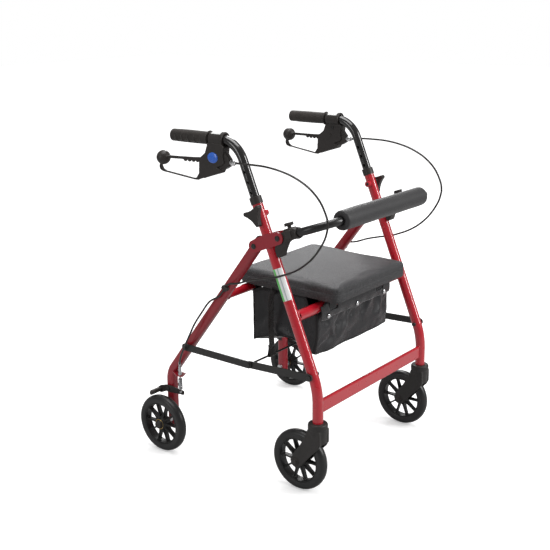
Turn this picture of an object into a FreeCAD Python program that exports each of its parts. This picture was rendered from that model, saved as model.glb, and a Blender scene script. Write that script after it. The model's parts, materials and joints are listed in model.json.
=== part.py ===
import FreeCAD, Part
import Sketcher
import math
import os
import re

# Four-wheeled walking frame (rollator) with seat, back bar, loop brakes and a cargo bag.
# Frame: +Z up, the user walks towards -Y, the user's right hand is on the -X side.
# Origin: on the floor, midway between the left and right legs and midway along the length.
# The side frames lie in the planes X = +leg_x and X = -leg_x.
# Y values are written in the frame's own datum; place() adds shift_y to them.

Vector = FreeCAD.Vector
Rotation = FreeCAD.Rotation
doc = FreeCAD.newDocument("rollator")


def sin_deg(angle):
    return math.sin(math.radians(angle))


def cos_deg(angle):
    return math.cos(math.radians(angle))


def tan_deg(angle):
    return math.tan(math.radians(angle))


# ------------------------------------------------------------------ driving dimensions
class Dimensions:
    """Every attribute becomes an alias of the spreadsheet."""


dim = Dimensions()

# side frame planes and front leg tubes
dim.leg_x = 236.0
dim.leg_od = 25.4
dim.leg_bore = 22.3
dim.leg_tilt = 22.1
# front leg: vertical foot above the caster, then leaning back up to the handle
dim.foot_y = -303.0
dim.leg_bottom = 181.5
dim.knee_z = 261.5
dim.knee_rad = 180.0
lean_sin, lean_cos = sin_deg(dim.leg_tilt), cos_deg(dim.leg_tilt)
knee_tangent = dim.knee_rad * tan_deg(dim.leg_tilt / 2)
dim.knee_low = dim.knee_z - knee_tangent - dim.leg_bottom
dim.knee_up_y = knee_tangent * lean_sin
dim.knee_up_z = dim.knee_z + knee_tangent * lean_cos - dim.leg_bottom
dim.leg_top_z = 677.0
dim.leg_run_y = (dim.leg_top_z - dim.knee_z) * lean_sin / lean_cos
dim.leg_run_z = dim.leg_top_z - dim.leg_bottom
dim.knob_z = 655.0
dim.knob_y = dim.foot_y + (dim.knob_z - dim.knee_z) * lean_sin / lean_cos
dim.knob_bolt = 7.8
dim.collar_od = 28.8
dim.collar_len = 17.0
# rear leg: vertical foot, then leaning forward up to the pivot plate
dim.rear_y = 158.0
dim.rear_bottom = 52.0
dim.rear_tilt = 37.7
dim.piv_y = -133.6
dim.piv_z = 580.0
rear_sin, rear_cos = sin_deg(dim.rear_tilt), cos_deg(dim.rear_tilt)
dim.hock_z = dim.piv_z - (dim.rear_y - dim.piv_y) * rear_cos / rear_sin
dim.hock_rad = 60.0
hock_tangent = dim.hock_rad * tan_deg(dim.rear_tilt / 2)
dim.hock_low = dim.hock_z - hock_tangent - dim.rear_bottom
dim.hock_up_y = -hock_tangent * rear_sin
dim.hock_up_z = dim.hock_z + hock_tangent * rear_cos - dim.rear_bottom
dim.rear_over = 15.0
dim.rear_run_y = dim.piv_y - dim.rear_y - dim.rear_over * rear_sin
dim.rear_run_z = dim.piv_z - dim.rear_bottom + dim.rear_over * rear_cos
dim.rear_wide = 24.6
dim.rear_deep = 25.4
dim.rear_corner = 9.0
dim.rear_wall = 1.6


def rear_leg_y(z):
    """Y of the rear leg's centreline at height z, above the hock."""
    return dim.rear_y - (z - dim.hock_z) * rear_sin / rear_cos


# pivot plates, centred on the front leg
plate_up_leg = (dim.piv_y - dim.foot_y) * lean_sin + (dim.piv_z - dim.knee_z) * lean_cos
dim.plate_y = dim.foot_y + plate_up_leg * lean_sin
dim.plate_z = dim.knee_z + plate_up_leg * lean_cos
dim.plate_half = (dim.piv_y - dim.plate_y) / lean_cos
dim.back_y = 2 * dim.plate_y - dim.piv_y
dim.back_z = 2 * dim.plate_z - dim.piv_z
dim.plate_thick = 3.0
dim.plate_high = 29.0
dim.plate_arch = 3.0
dim.plate_gap = 12.75
dim.rivet_dia = 8.0
dim.rivet_hole = 8.1
dim.rivet_head = 13.0
# handle tube, telescoping in the front leg
dim.tube_od = 22.2
dim.tube_bore = 18.6
dim.grip_z = 817.0
dim.bend_rad = 70.0
bend_angle = 90.0 - dim.leg_tilt
bend_tangent = dim.bend_rad * tan_deg(bend_angle / 2)
dim.top_len = (dim.grip_z - dim.knob_z) / lean_cos
dim.tube_below = 150.0
dim.bend_start = dim.tube_below + dim.top_len - bend_tangent
dim.bend_end_y = bend_tangent * sin_deg(bend_angle)
dim.bend_end_z = dim.tube_below + dim.top_len + bend_tangent * cos_deg(bend_angle)
dim.corner_y = dim.knob_y + (dim.grip_z - dim.knob_z) * lean_sin / lean_cos
dim.grip_end_y = 120.0
grip_run = dim.grip_end_y - 3.0 - dim.corner_y
dim.tube_end_y = grip_run * sin_deg(bend_angle)
dim.tube_end_z = dim.tube_below + dim.top_len + grip_run * cos_deg(bend_angle)
dim.hole_pitch = 25.0
dim.hole_dia = 8.0
# grips
dim.grip_dia = 29.5
dim.grip_ring = 35.0
dim.grip_len = 118.0
dim.ring_y = 2.0
# brake housing and lever
dim.brake_x = 240.0
dim.lever_y = -15.0
dim.lever_z = 774.0
dim.ball_y = 140.4
dim.ball_z = 763.0
dim.ball_dia = 34.6
dim.ball_out = 12.0
dim.pin_dia = 6.0
dim.pin_hole = 6.1
# three-winged height knob
dim.star_rad = 28.0
dim.star_deep = 14.0
# cross members
dim.bar_z = 218.0
dim.bar_high = 34.0
dim.bar_deep = 10.0
dim.cross_wall = 1.5
dim.seat_tube_z = 424.0
dim.seat_tube_y = dim.foot_y + (dim.seat_tube_z - dim.knee_z) * lean_sin / lean_cos
dim.seat_tube_od = 25.4
dim.rear_tube_z = 439.0
dim.rear_tube_y = rear_leg_y(dim.rear_tube_z)
dim.rear_tube_od = 22.0
# folding stays: a on the front leg, b on the rear leg, m where they meet
dim.stay_a_y = -290.0
dim.stay_a_z = 294.0
dim.stay_b_z = 290.0
dim.stay_b_y = rear_leg_y(dim.stay_b_z)
dim.stay_m_y = -114.6
dim.stay_m_z = 287.7
dim.stay_high = 18.0
dim.stay_thick = 3.0
dim.stay_in_x = 251.0
dim.stay_out_x = 254.4
dim.stay_bolt = 6.0
dim.stay_hole = 6.1
dim.rod_dia = 5.0
# wheels
dim.wheel_dia = 150.0
dim.wheel_z = 75.0
dim.tyre_wide = 25.0
dim.tyre_in = 56.0
dim.tread_rise = 9.0
dim.trail = 51.0
dim.rear_wheel_x = 276.7
dim.axle_dia = 8.0
dim.axle_hole = 8.1
dim.bearing_od = 16.0
dim.hub_dia = 36.0
dim.hub_half = 13.6
dim.spoke_thick = 4.0
dim.spoke_wide = 13.0
dim.spokes = 10.0
dim.fork_in = 14.6
dim.fork_thick = 5.0
# rear brake arm, and the cable that pulls it
dim.arm_y = 157.5
dim.arm_z = 162.0
dim.shoe_y = 188.0
dim.shoe_z = 151.8
dim.shoe_dia = 10.0
dim.tab_z = 208.0
dim.cable_out = 21.0
dim.cable_fore = 48.0
dim.clip_z = 466.0
dim.clip_y = rear_leg_y(dim.clip_z)
# seat
dim.seat_half = 155.0
dim.seat_front = -298.0
dim.seat_rear = -10.0
dim.seat_thick = 37.0
dim.seat_low_f = 445.0
dim.seat_low_r = 453.3478
dim.seat_round = 9.0
dim.pan_thick = 6.0
dim.pan_inset = 14.0
# back bar
dim.arm_tilt = 19.3
dim.back_od = 19.0
dim.back_bore = 16.0
dim.back_reach = 131.0
dim.back_rad = 65.0
dim.foam_dia = 46.0
dim.foam_half = 180.0
# cargo bag and straps
dim.bag_half = 152.0
dim.bag_front = -254.5
dim.bag_rear = -50.0
dim.bag_low = 312.0
dim.bag_top = 437.0
dim.bag_wall = 2.0
dim.strap_x = 166.0
dim.strap_wide = 22.0
# offset in Y that brings the origin under the middle of the overall length
front_end = dim.back_y - dim.back_reach * cos_deg(dim.arm_tilt) - dim.foam_dia / 2
rear_end = dim.rear_y + dim.wheel_dia / 2
dim.shift_y = -(front_end + rear_end) / 2

sheet = doc.addObject("Spreadsheet::Sheet", "Sheet")
for row, (alias, exact) in enumerate(list(vars(dim).items()), 1):
    setattr(dim, alias, round(exact, 4))
    sheet.set("A%d" % row, alias)
    sheet.set("B%d" % row, str(getattr(dim, alias)))
    sheet.setAlias("B%d" % row, alias)
doc.recompute()

# ------------------------------------------------------------------ expressions
# A size is either a number or a string of arithmetic on the sheet's names.
TOKEN = re.compile(r"[A-Za-z_][A-Za-z_0-9]*|[0-9.]+|[-+*/()]")


def value_of(size):
    """Number that a size stands for."""
    if not isinstance(size, str):
        return float(size)
    queue = TOKEN.findall(size)

    def factor():
        token = queue.pop(0)
        if token == "-":
            return -factor()
        if token == "(":
            inside = total()
            queue.pop(0)
            return inside
        return vars(dim)[token] if token in vars(dim) else float(token)

    def product():
        result = factor()
        while queue and queue[0] in "*/":
            operator = queue.pop(0)
            other = factor()
            result = result * other if operator == "*" else result / other
        return result

    def total():
        result = product()
        while queue and queue[0] in "+-":
            operator = queue.pop(0)
            other = product()
            result = result + other if operator == "+" else result - other
        return result

    return total()


def bind(obj, prop, size):
    """Tie a property to the sheet when its size is an expression."""
    if isinstance(size, str):
        names = ("Sheet." + k if k in vars(dim) else k for k in TOKEN.findall(size))
        obj.setExpression(prop, "".join(names))


def place(obj, x=0, y=0, z=0, turn=None):
    y = "(%s)+shift_y" % y
    base = Vector(value_of(x), value_of(y), value_of(z))
    obj.Placement = FreeCAD.Placement(base, turn or Rotation())
    for axis, size in zip("xyz", (x, y, z)):
        bind(obj, "Placement.Base." + axis, size)
    return obj


# ------------------------------------------------------------------ sides and directions
SIDES = (("right", -1), ("left", 1))


def about_x(angle):
    return Rotation(Vector(1, 0, 0), angle)


ALONG_X = Rotation(Vector(0, 1, 0), 90)
ALONG_Y = about_x(-90)
LEAN = about_x(-dim.leg_tilt)
ARM_TURN = about_x(-dim.arm_tilt)
BAR_TURN = about_x(90 - dim.arm_tilt)


def signed(side, size):
    return "(%s)" % size if side > 0 else "-(%s)" % size


def span(side, low, high):
    """Lower X of a piece that covers low..high outboard on this side."""
    return low if side > 0 else "-(%s)" % high


def mirrored(side, points):
    return [(signed(side, x), y) for x, y in points]


def both_ways(half):
    """Outline symmetric about x = 0, from its +x half."""
    return mirrored(-1, reversed(half)) + half


def up_leg(y, z, distance):
    """The y, z that lies a distance up the front leg's lean from y, z."""
    return y + distance * lean_sin, z + distance * lean_cos


def on_arm(along, across):
    """The y, z of a point given from the back bar's pivot, in the arm's turned Y and Z."""
    arm_sin, arm_cos = sin_deg(dim.arm_tilt), cos_deg(dim.arm_tilt)
    return (dim.back_y + along * arm_cos + across * arm_sin,
            dim.back_z - along * arm_sin + across * arm_cos)


# ------------------------------------------------------------------ sketches
Z_AXIS = Vector(0, 0, 1)
START, END, CENTRE = 1, 2, 3
ORIGIN = (-1, 1)


def constrain(sketch, kind, *targets, size):
    index = sketch.addConstraint(Sketcher.Constraint(kind, *targets, value_of(size)))
    bind(sketch, "Constraints[%d]" % index, size)


def lock(sketch, edge, point, x, y):
    constrain(sketch, "DistanceX", *ORIGIN, edge, point, size=x)
    constrain(sketch, "DistanceY", *ORIGIN, edge, point, size=y)


def draw_circle(sketch, x, y, dia):
    centre = Vector(value_of(x), value_of(y), 0)
    edge = sketch.addGeometry(Part.Circle(centre, Z_AXIS, value_of(dia) / 2))
    lock(sketch, edge, CENTRE, x, y)
    constrain(sketch, "Diameter", edge, size=dia)


def draw_arc(centre, radius, first, last):
    return Part.ArcOfCircle(Part.Circle(centre, Z_AXIS, radius), first, last)


def draw_outline(sketch, points, arcs):
    """Closed outline; arcs maps a side's index to the radius of an arc bulging to its right."""
    corners = [Vector(value_of(x), value_of(y), 0) for x, y in points]
    ends = list(zip(corners, corners[1:] + corners[:1]))
    edges = []
    for k, (a, b) in enumerate(ends):
        if k in arcs:
            radius = value_of(arcs[k])
            chord = b - a
            rise = math.sqrt(max(radius * radius - (chord.Length / 2) ** 2, 0))
            centre = (a + b) * 0.5 + Vector(-chord.y, chord.x, 0).normalize() * rise
            first = math.atan2(a.y - centre.y, a.x - centre.x)
            last = math.atan2(b.y - centre.y, b.x - centre.x)
            shape = draw_arc(centre, radius, first, last)
        else:
            shape = Part.LineSegment(a, b)
        edges.append(sketch.addGeometry(shape))
    for k, edge in enumerate(edges):
        following = edges[(k + 1) % len(edges)]
        sketch.addConstraint(Sketcher.Constraint("Coincident", edge, END, following, START))
        lock(sketch, edge, START, *points[k])
    for k, radius in arcs.items():
        a, b = ends[k]
        if abs(value_of(radius) - (b - a).Length / 2) < 1e-3:
            # half circle: its centre is the middle of the chord
            middle = (a + b) * 0.5
            if abs(b.y - a.y) > abs(b.x - a.x):
                constrain(sketch, "DistanceX", *ORIGIN, edges[k], CENTRE, size=middle.x)
            else:
                constrain(sketch, "DistanceY", *ORIGIN, edges[k], CENTRE, size=middle.y)
        else:
            constrain(sketch, "Radius", edges[k], size=radius)


def rounded_box(width, height, radius, x=0, y=0):
    """Sketch contents: a rounded rectangle centred on x, y."""
    width, height, radius, x, y = ["(%s)" % k for k in (width, height, radius, x, y)]
    x0, x1 = x + "-" + width + "/2", x + "+" + width + "/2"
    y0, y1 = y + "-" + height + "/2", y + "+" + height + "/2"
    x0_in, x1_in = x0 + "+" + radius, x1 + "-" + radius
    y0_in, y1_in = y0 + "+" + radius, y1 + "-" + radius
    points = [(x0_in, y0), (x1_in, y0), (x1, y0_in), (x1, y1_in),
              (x1_in, y1), (x0_in, y1), (x0, y1_in), (x0, y0_in)]
    return {"points": points, "arcs": {k: radius for k in (1, 3, 5, 7)}}


def round_section(*diameters):
    """Sketch contents: circles round the sketch's origin."""
    return {"circles": [(0, 0, dia) for dia in diameters]}


def origin_part(body, role):
    return next(part for part in body.Origin.OriginFeatures if part.Role == role)


def add_sketch(body, plane, name, points=None, arcs=None, circles=(), offset=0):
    sketch = body.newObject("Sketcher::SketchObject", name)
    sketch.AttachmentSupport = [(origin_part(body, plane + "_Plane"), "")]
    sketch.MapMode = "FlatFace"
    if offset:
        lift = Vector(0, 0, value_of(offset))
        sketch.AttachmentOffset = FreeCAD.Placement(lift, Rotation())
        bind(sketch, "AttachmentOffset.Base.z", offset)
    if points:
        draw_outline(sketch, points, arcs or {})
    for x, y, dia in circles:
        draw_circle(sketch, x, y, dia)
    return sketch


def draw_bend(sketch, radius, start, arc_to, end):
    """From the origin up the vertical axis to start, round to arc_to, straight on to end."""
    low = Vector(0, value_of(start), 0)
    high = Vector(value_of(arc_to[0]), value_of(arc_to[1]), 0)
    last = Vector(value_of(end[0]), value_of(end[1]), 0)
    bend = value_of(radius)
    lower = sketch.addGeometry(Part.LineSegment(Vector(0, 0, 0), low))
    centre = low + Vector(bend if high.x > 0 else -bend, 0, 0)
    angle = math.atan2(high.y - centre.y, high.x - centre.x)
    if high.x > 0:
        arc = sketch.addGeometry(draw_arc(centre, bend, angle, math.pi))
        near, far = END, START
    else:
        arc = sketch.addGeometry(draw_arc(centre, bend, 0, angle))
        near, far = START, END
    upper = sketch.addGeometry(Part.LineSegment(high, last))
    lock(sketch, lower, START, 0, 0)
    lock(sketch, lower, END, 0, start)
    sketch.addConstraint(Sketcher.Constraint("Coincident", lower, END, arc, near))
    sketch.addConstraint(Sketcher.Constraint("Coincident", arc, far, upper, START))
    lock(sketch, upper, START, *arc_to)
    constrain(sketch, "Radius", arc, size=radius)
    lock(sketch, upper, END, *end)


# ------------------------------------------------------------------ features
def new_body(name, *position, turn=None):
    return place(doc.addObject("PartDesign::Body", name + "_body"), *position, turn=turn)


def extrude(kind, body, sketch, length, mid, rev):
    feature = body.newObject("PartDesign::" + kind, kind)
    feature.Profile = sketch
    if length is None:
        feature.Type = 1  # through all
    else:
        feature.Length = value_of(length)
        bind(feature, "Length", length)
    feature.Midplane = mid
    feature.Reversed = rev
    return feature


def pad(body, sketch, length, mid=False, rev=False):
    return extrude("Pad", body, sketch, length, mid, rev)


def pocket(body, sketch, length=None, mid=False, rev=False):
    return extrude("Pocket", body, sketch, length, mid, rev)


def revolve(body, sketch, axis="H_Axis"):
    feature = body.newObject("PartDesign::Revolution", "Revolution")
    feature.Profile = sketch
    feature.ReferenceAxis = (sketch, [axis])
    feature.Angle = 360.0


def pipe(kind, body, profile, path):
    feature = body.newObject("PartDesign::" + kind, "Pipe")
    feature.Profile = profile
    feature.Spine = (path, [])


def bent_tube(name, position, bend, outer, inner, holes, turn=None):
    """Tube swept along a bend in the YZ plane, cross-drilled along X."""
    body = new_body(name, *position, turn=turn)
    path = add_sketch(body, "YZ", name + "_path")
    draw_bend(path, *bend)
    pipe("AdditivePipe", body, add_sketch(body, "XY", name + "_outer", **outer), path)
    pipe("SubtractivePipe", body, add_sketch(body, "XY", name + "_inner", **inner), path)
    pocket(body, add_sketch(body, "YZ", name + "_holes", circles=holes), 60, mid=True)
    return body


def slab(name, side, low, high, y, z, turn=None, **contents):
    """Flat piece with its outline in the YZ plane, covering low..high outboard."""
    body = new_body(name, span(side, low, high), y, z, turn=turn)
    sketch = add_sketch(body, "YZ", name + "_outline", **contents)
    pad(body, sketch, "(%s)-(%s)" % (high, low))
    return body


def turned(name, position, points, plane="XY", axis="H_Axis", arcs=None, turn=None):
    """Body of one outline revolved about a sketch axis."""
    body = new_body(name, *position, turn=turn)
    revolve(body, add_sketch(body, plane, name + "_profile", points, arcs), axis)
    return body


def ring(name, position, outer, inner, length, turn=None):
    body = new_body(name, *position, turn=turn)
    pad(body, add_sketch(body, "XY", name + "_ring", **round_section(outer, inner)), length)
    return body


def cylinder(name, dia, length, x, y, z, turn=None):
    """Cylinder that starts at x, y, z and runs along its turned Z axis."""
    feature = doc.addObject("Part::Cylinder", name)
    feature.Radius = value_of(dia) / 2
    feature.Height = value_of(length)
    bind(feature, "Radius", "(%s)/2" % dia)
    bind(feature, "Height", length)
    return place(feature, x, y, z, turn)


def leg_cylinder(name, side, y, z, half):
    """Solid of the leaning front leg's diameter, half above and half below y, z."""
    low_y, low_z = up_leg(y, z, -half)
    return cylinder(name, "leg_od", 2 * half, signed(side, "leg_x"), low_y, low_z, LEAN)


def fuse(name, shapes):
    feature = doc.addObject("Part::MultiFuse", name)
    feature.Shapes = shapes
    feature.Refine = True
    return feature


def cut(name, base, tools):
    feature = doc.addObject("Part::Cut", name)
    feature.Base = base
    feature.Tool = tools[0] if len(tools) == 1 else fuse(name + "_tools", tools)
    feature.Refine = True
    return feature


# ------------------------------------------------------------------ nodes: the exported pieces
nodes = []


def node(obj, label):
    obj.Label = label
    nodes.append(obj)


def group_node(name, shapes):
    """Several separate pieces kept as one node."""
    compound = doc.addObject("Part::Compound", name)
    compound.Links = shapes
    node(compound, name)


def pair_node(name, make):
    group_node(name, [make(hand, side) for hand, side in SIDES])


def shape_node(name, shape):
    feature = doc.addObject("Part::Feature", name)
    feature.Shape = shape
    node(feature, name)
    return feature


# ------------------------------------------------------------------ front side frames
def front_leg(hand, side):
    name = "front_leg_" + hand
    bend = ("knee_rad", "knee_low", ("knee_up_y", "knee_up_z"), ("leg_run_y", "leg_run_z"))
    holes = [("knob_y-foot_y", "knob_z-leg_bottom", "hole_dia"),
             ("stay_a_y-foot_y", "stay_a_z-leg_bottom", "stay_bolt")]
    node(bent_tube(name, (signed(side, "leg_x"), "foot_y", "leg_bottom"), bend,
                   round_section("leg_od"), round_section("leg_bore"), holes), name)


def front_cross_bar():
    """Flattened bar between the feet, coped round the legs."""
    name = "front_cross_bar"
    body = new_body(name, "-(leg_x-leg_od/2)-0.4", "foot_y", "bar_z")
    outer = rounded_box("bar_deep", "bar_high", "bar_deep/2-0.5")
    pad(body, add_sketch(body, "YZ", "bar_outline", **outer), "2*(leg_x-leg_od/2)+0.8")
    inner = rounded_box("bar_deep-2*cross_wall", "bar_high-2*cross_wall",
                        "bar_deep/2-0.5-cross_wall")
    pocket(body, add_sketch(body, "YZ", "bar_bore", **inner))
    copes = [cylinder("bar_cope_" + hand, "leg_od+0.2", 80,
                      signed(side, "leg_x"), "foot_y", "bar_z-40") for hand, side in SIDES]
    node(cut(name, body, copes), name)


def cross_tube(name, dia, half, y, z, copes=()):
    """Round tube along X, reaching half to each side."""
    outer = cylinder(name + "_outer", dia, "2*(%s)" % half, "-(%s)" % half, y, z, ALONG_X)
    inner = cylinder(name + "_inner", dia + "-2*cross_wall", "2*leg_x", "-leg_x", y, z, ALONG_X)
    node(cut(name, outer, [inner, *copes]), name)


def pivot_plate(hand, side, k):
    """Arched plate on the inboard (k = 0) or outboard (k = 1) face of a front leg."""
    low, high = (("leg_x-plate_gap-plate_thick", "leg_x-plate_gap"),
                 ("leg_x+plate_gap", "leg_x+plate_gap+plate_thick"))[k]
    # lower edge, rear end, arched upper edge, front end
    points = [("-plate_half", "-plate_high/2"), ("plate_half", "-plate_high/2"),
              ("plate_half", "plate_high/2"), ("-plate_half", "plate_high/2")]
    arch = "plate_half*plate_half/(2*plate_arch)+plate_arch/2"
    arcs = {1: "plate_high/2", 2: arch, 3: "plate_high/2"}
    holes = [("plate_half", 0, "rivet_dia+0.02"), ("-plate_half", 0, "rivet_dia+0.02")]
    return slab("plate_%s_%d" % (hand, k), side, low, high, "plate_y", "plate_z", LEAN,
                points=points, arcs=arcs, circles=holes)


def plate_rivet(hand, side, k):
    """Shank through both plates with a low head outside each; k = 1 is the back bar's."""
    y, z = (("piv_y", "piv_z"), ("back_y", "back_z"))[k]
    x = span(side, "leg_x-plate_gap-plate_thick", "leg_x+plate_gap+plate_thick")
    grip = "2*plate_gap+2*plate_thick"
    points = [(-2.4, 0), (-2.4, "rivet_head/2-2"), (-1.2, "rivet_head/2"),
              (0, "rivet_head/2"), (0, "rivet_dia/2"),
              (grip, "rivet_dia/2"), (grip, "rivet_head/2"), (grip + "+1.2", "rivet_head/2"),
              (grip + "+2.4", "rivet_head/2-2"), (grip + "+2.4", 0)]
    return turned("rivet_%s_%d" % (hand, k), (x, y, z), points)


def leg_collar(hand, side):
    """Collar on the top of a front leg."""
    y, z = up_leg(dim.knob_y, dim.knob_z, (dim.leg_top_z - dim.knob_z) / lean_cos)
    return ring("collar_" + hand, (signed(side, "leg_x"), y, z),
                "collar_od", "leg_bore", "collar_len", LEAN)


def knob_nut(hand, side):
    """Boss for the height knob, inboard of the front leg and saddled to it."""
    name = "knob_nut_" + hand
    boss = slab(name, side, "leg_x-leg_od/2-9", "leg_x-leg_od/2+0.6", "knob_y", "knob_z",
                **round_section(15, "hole_dia"))
    saddle = leg_cylinder(name + "_saddle", side, dim.knob_y, dim.knob_z, 40)
    return cut(name + "_cut", boss, [saddle])


def shoulder_bolts(name, y, z, half_leg, outer_x):
    """Bolts through both legs; each carries a flat piece whose inboard face is at outer_x."""
    bolts = []
    inner_face, outer_face = "leg_x-" + half_leg, "leg_x+" + half_leg
    seat, far = outer_x + "-0.2", outer_x + "+stay_thick"
    shank = "stay_bolt/2"
    # x, radius
    points = [(inner_face + "-5", 0), (inner_face + "-5", 5), (inner_face, 5),
              (inner_face, shank), (outer_face, shank), (outer_face, 6),
              (seat, 6), (seat, shank), (far + "+0.2", shank), (far + "+0.2", 5.5),
              (far + "+2.4", 5.5), (far + "+3.2", 4.5), (far + "+3.2", 0)]
    for hand, side in SIDES:
        bolts.append(turned(name + "_" + hand, (0, y, z), mirrored(side, points)))
    return bolts


def stem_bearing(hand, side):
    """Sleeve in the bottom of a front leg, round the caster stem."""
    return ring("stem_bearing_" + hand, (signed(side, "leg_x"), "foot_y", "leg_bottom"),
                "leg_bore", 11.1, 42)


for hand, side in SIDES:
    front_leg(hand, side)
front_cross_bar()
seat_tube_copes = [leg_cylinder("seat_tube_cope_" + hand, side, dim.seat_tube_y,
                                dim.seat_tube_z, 60) for hand, side in SIDES]
cross_tube("front_seat_tube", "seat_tube_od", "leg_x-leg_od/2+0.8",
           "seat_tube_y", "seat_tube_z", seat_tube_copes)
for name, make in (("pivot_plates", pivot_plate), ("plate_rivets", plate_rivet)):
    group_node(name, [make(hand, side, k) for hand, side in SIDES for k in (0, 1)])
pair_node("leg_collars", leg_collar)
pair_node("knob_nuts", knob_nut)
group_node("front_stay_bolts",
           shoulder_bolts("fsb", "stay_a_y", "stay_a_z", "leg_od/2", "stay_in_x"))
pair_node("caster_stem_bearings", stem_bearing)


# ------------------------------------------------------------------ rear frame
def rear_section(inset):
    """Rounded cross-section of the rear leg, drawn in by inset on every side."""
    return rounded_box("rear_wide-2*(%s)" % inset, "rear_deep-2*(%s)" % inset,
                       "rear_corner-(%s)" % inset)


def rear_leg(hand, side):
    name = "rear_leg_" + hand
    bend = ("hock_rad", "hock_low", ("hock_up_y", "hock_up_z"), ("rear_run_y", "rear_run_z"))
    holes = [("piv_y-rear_y", "piv_z-rear_bottom", "rivet_hole"),
             ("stay_b_y-rear_y", "stay_b_z-rear_bottom", "stay_bolt"),
             ("arm_y-rear_y", "arm_z-rear_bottom", "stay_bolt"),
             (0, "wheel_z-rear_bottom", "axle_dia")]
    body = bent_tube(name, (signed(side, "leg_x"), "rear_y", "rear_bottom"), bend,
                     rear_section(0), rear_section("rear_wall"), holes)
    # small tab that stops the cable housing ahead of the leg
    tab = [(2, -50), (21, -58), (27, -54), (27, -40), (12, -12), (2, -12)]
    cable_hole = (signed(side, "cable_out"), "-cable_fore", 5.2)
    pad(body, add_sketch(body, "XY", name + "_tab", mirrored(side, tab),
                         circles=[cable_hole], offset="tab_z-rear_bottom"), 2.5)
    node(body, name)


def leg_cap(hand, side):
    """Plug and cap on the open top end of a rear leg."""
    name = "leg_cap_" + hand
    body = new_body(name, signed(side, "leg_x"), dim.piv_y - dim.rear_over * rear_sin,
                    dim.piv_z + dim.rear_over * rear_cos, turn=about_x(dim.rear_tilt))
    plug = add_sketch(body, "XY", name + "_plug", **rear_section("rear_wall+0.05"))
    pad(body, plug, 7, rev=True)
    pad(body, add_sketch(body, "XY", name + "_top", **rear_section(0.3)), 4)
    return body


def cable_clip(hand, side):
    """Block on the outer face of a rear leg, bored along the leg for the cable."""
    name = "clip_" + hand
    body = slab(name, side, "leg_x+rear_wide/2", "leg_x+rear_wide/2+10", "clip_y", "clip_z",
                about_x(dim.rear_tilt), **rounded_box(16, 11, 3))
    bore = (5.5 if side > 0 else 4.5, 0, 5.6)
    pocket(body, add_sketch(body, "XY", name + "_bore", circles=[bore]), 40, mid=True)
    return body


def cable_adjuster(hand, side):
    """Barrel adjuster standing on the cable tab."""
    # radius, height
    points = [(1.2, -6), (2.6, -6), (2.6, 2.5), (4.8, 2.5), (4.8, 9), (3.8, 9),
              (3.8, 24), (2.9, 27), (1.2, 27)]
    position = (signed(side, "leg_x+cable_out"), "rear_y-cable_fore", "tab_z")
    return turned("adjuster_" + hand, position, points, "XZ", "V_Axis")


def brake_springs():
    """Return springs round the cable between the tab and the brake arm."""
    pitch, height, radius, wire_radius = 4.2, 28.6, 4.6, 0.7
    springs = []
    for _, side in SIDES:
        helix = Part.makeHelix(pitch, height, radius)
        section = Part.makeCircle(wire_radius, Vector(radius, 0, 0), Vector(0, 1, 0))
        coil = Part.Wire(helix.Edges).makePipeShell([Part.Wire(section)], True, True)
        coil.translate(Vector(side * (dim.leg_x + dim.cable_out),
                              dim.rear_y - dim.cable_fore + dim.shift_y, 172.4))
        springs.append(coil)
    shape_node("brake_springs", Part.makeCompound(springs))


def rear_axle(hand, side):
    """Axle bolt with nut, spacer sleeve and outer head."""
    inner_face, outer_face = "leg_x-rear_wide/2", "leg_x+rear_wide/2"
    hub_in, hub_out = "rear_wheel_x-hub_half-0.4", "rear_wheel_x+hub_half"
    shank = "axle_dia/2"
    # x, radius
    points = [(inner_face + "-7", 0), (inner_face + "-7", 6.5), (inner_face, 6.5),
              (inner_face, shank), (outer_face, shank), (outer_face, 7.5),
              (hub_in, 7.5), (hub_in, shank), (hub_out + "+0.3", shank),
              (hub_out + "+0.3", 6.5), (hub_out + "+3.5", 6.5),
              (hub_out + "+4.5", 5.5), (hub_out + "+4.5", 0)]
    return turned("rear_axle_" + hand, (0, "rear_y", "wheel_z"), mirrored(side, points))


def brake_arm(hand, side):
    name = "brake_arm_" + hand
    # y, z from the pivot
    points = [(-55, -2), (-52, -7), (-40, -7), (-14, -9), (8, -9.5), (18, -14), (26, -17.5),
              (34, -16.5), (38, -10), (36, -3), (26, 3), (8, 8.5), (-12, 9.5), (-42, 6),
              (-54, 5)]
    body = slab(name, side, "stay_in_x", "stay_in_x+stay_thick", "arm_y", "arm_z",
                points=points, circles=[(0, 0, "stay_hole"), (-47.5, 0, 3.2)])
    # friction bar across the tyre, from the arm's inboard face
    shoe = add_sketch(body, "YZ", name + "_shoe",
                      circles=[("shoe_y-arm_y", "shoe_z-arm_z", "shoe_dia")],
                      offset=0 if side > 0 else "stay_thick")
    pad(body, shoe, "rear_wheel_x+tyre_wide/2-2-stay_in_x", rev=(side < 0))
    node(body, name)


for hand, side in SIDES:
    rear_leg(hand, side)
    brake_arm(hand, side)
cross_tube("rear_seat_tube", "rear_tube_od", "leg_x-rear_wide/2", "rear_tube_y", "rear_tube_z")
pair_node("rear_leg_caps", leg_cap)
pair_node("cable_clips", cable_clip)
pair_node("cable_adjusters", cable_adjuster)
brake_springs()
group_node("rear_frame_bolts",
           shoulder_bolts("rsb", "stay_b_y", "stay_b_z", "rear_wide/2", "stay_out_x")
           + shoulder_bolts("bab", "arm_y", "arm_z", "rear_wide/2", "stay_in_x"))
pair_node("rear_axles", rear_axle)


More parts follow.
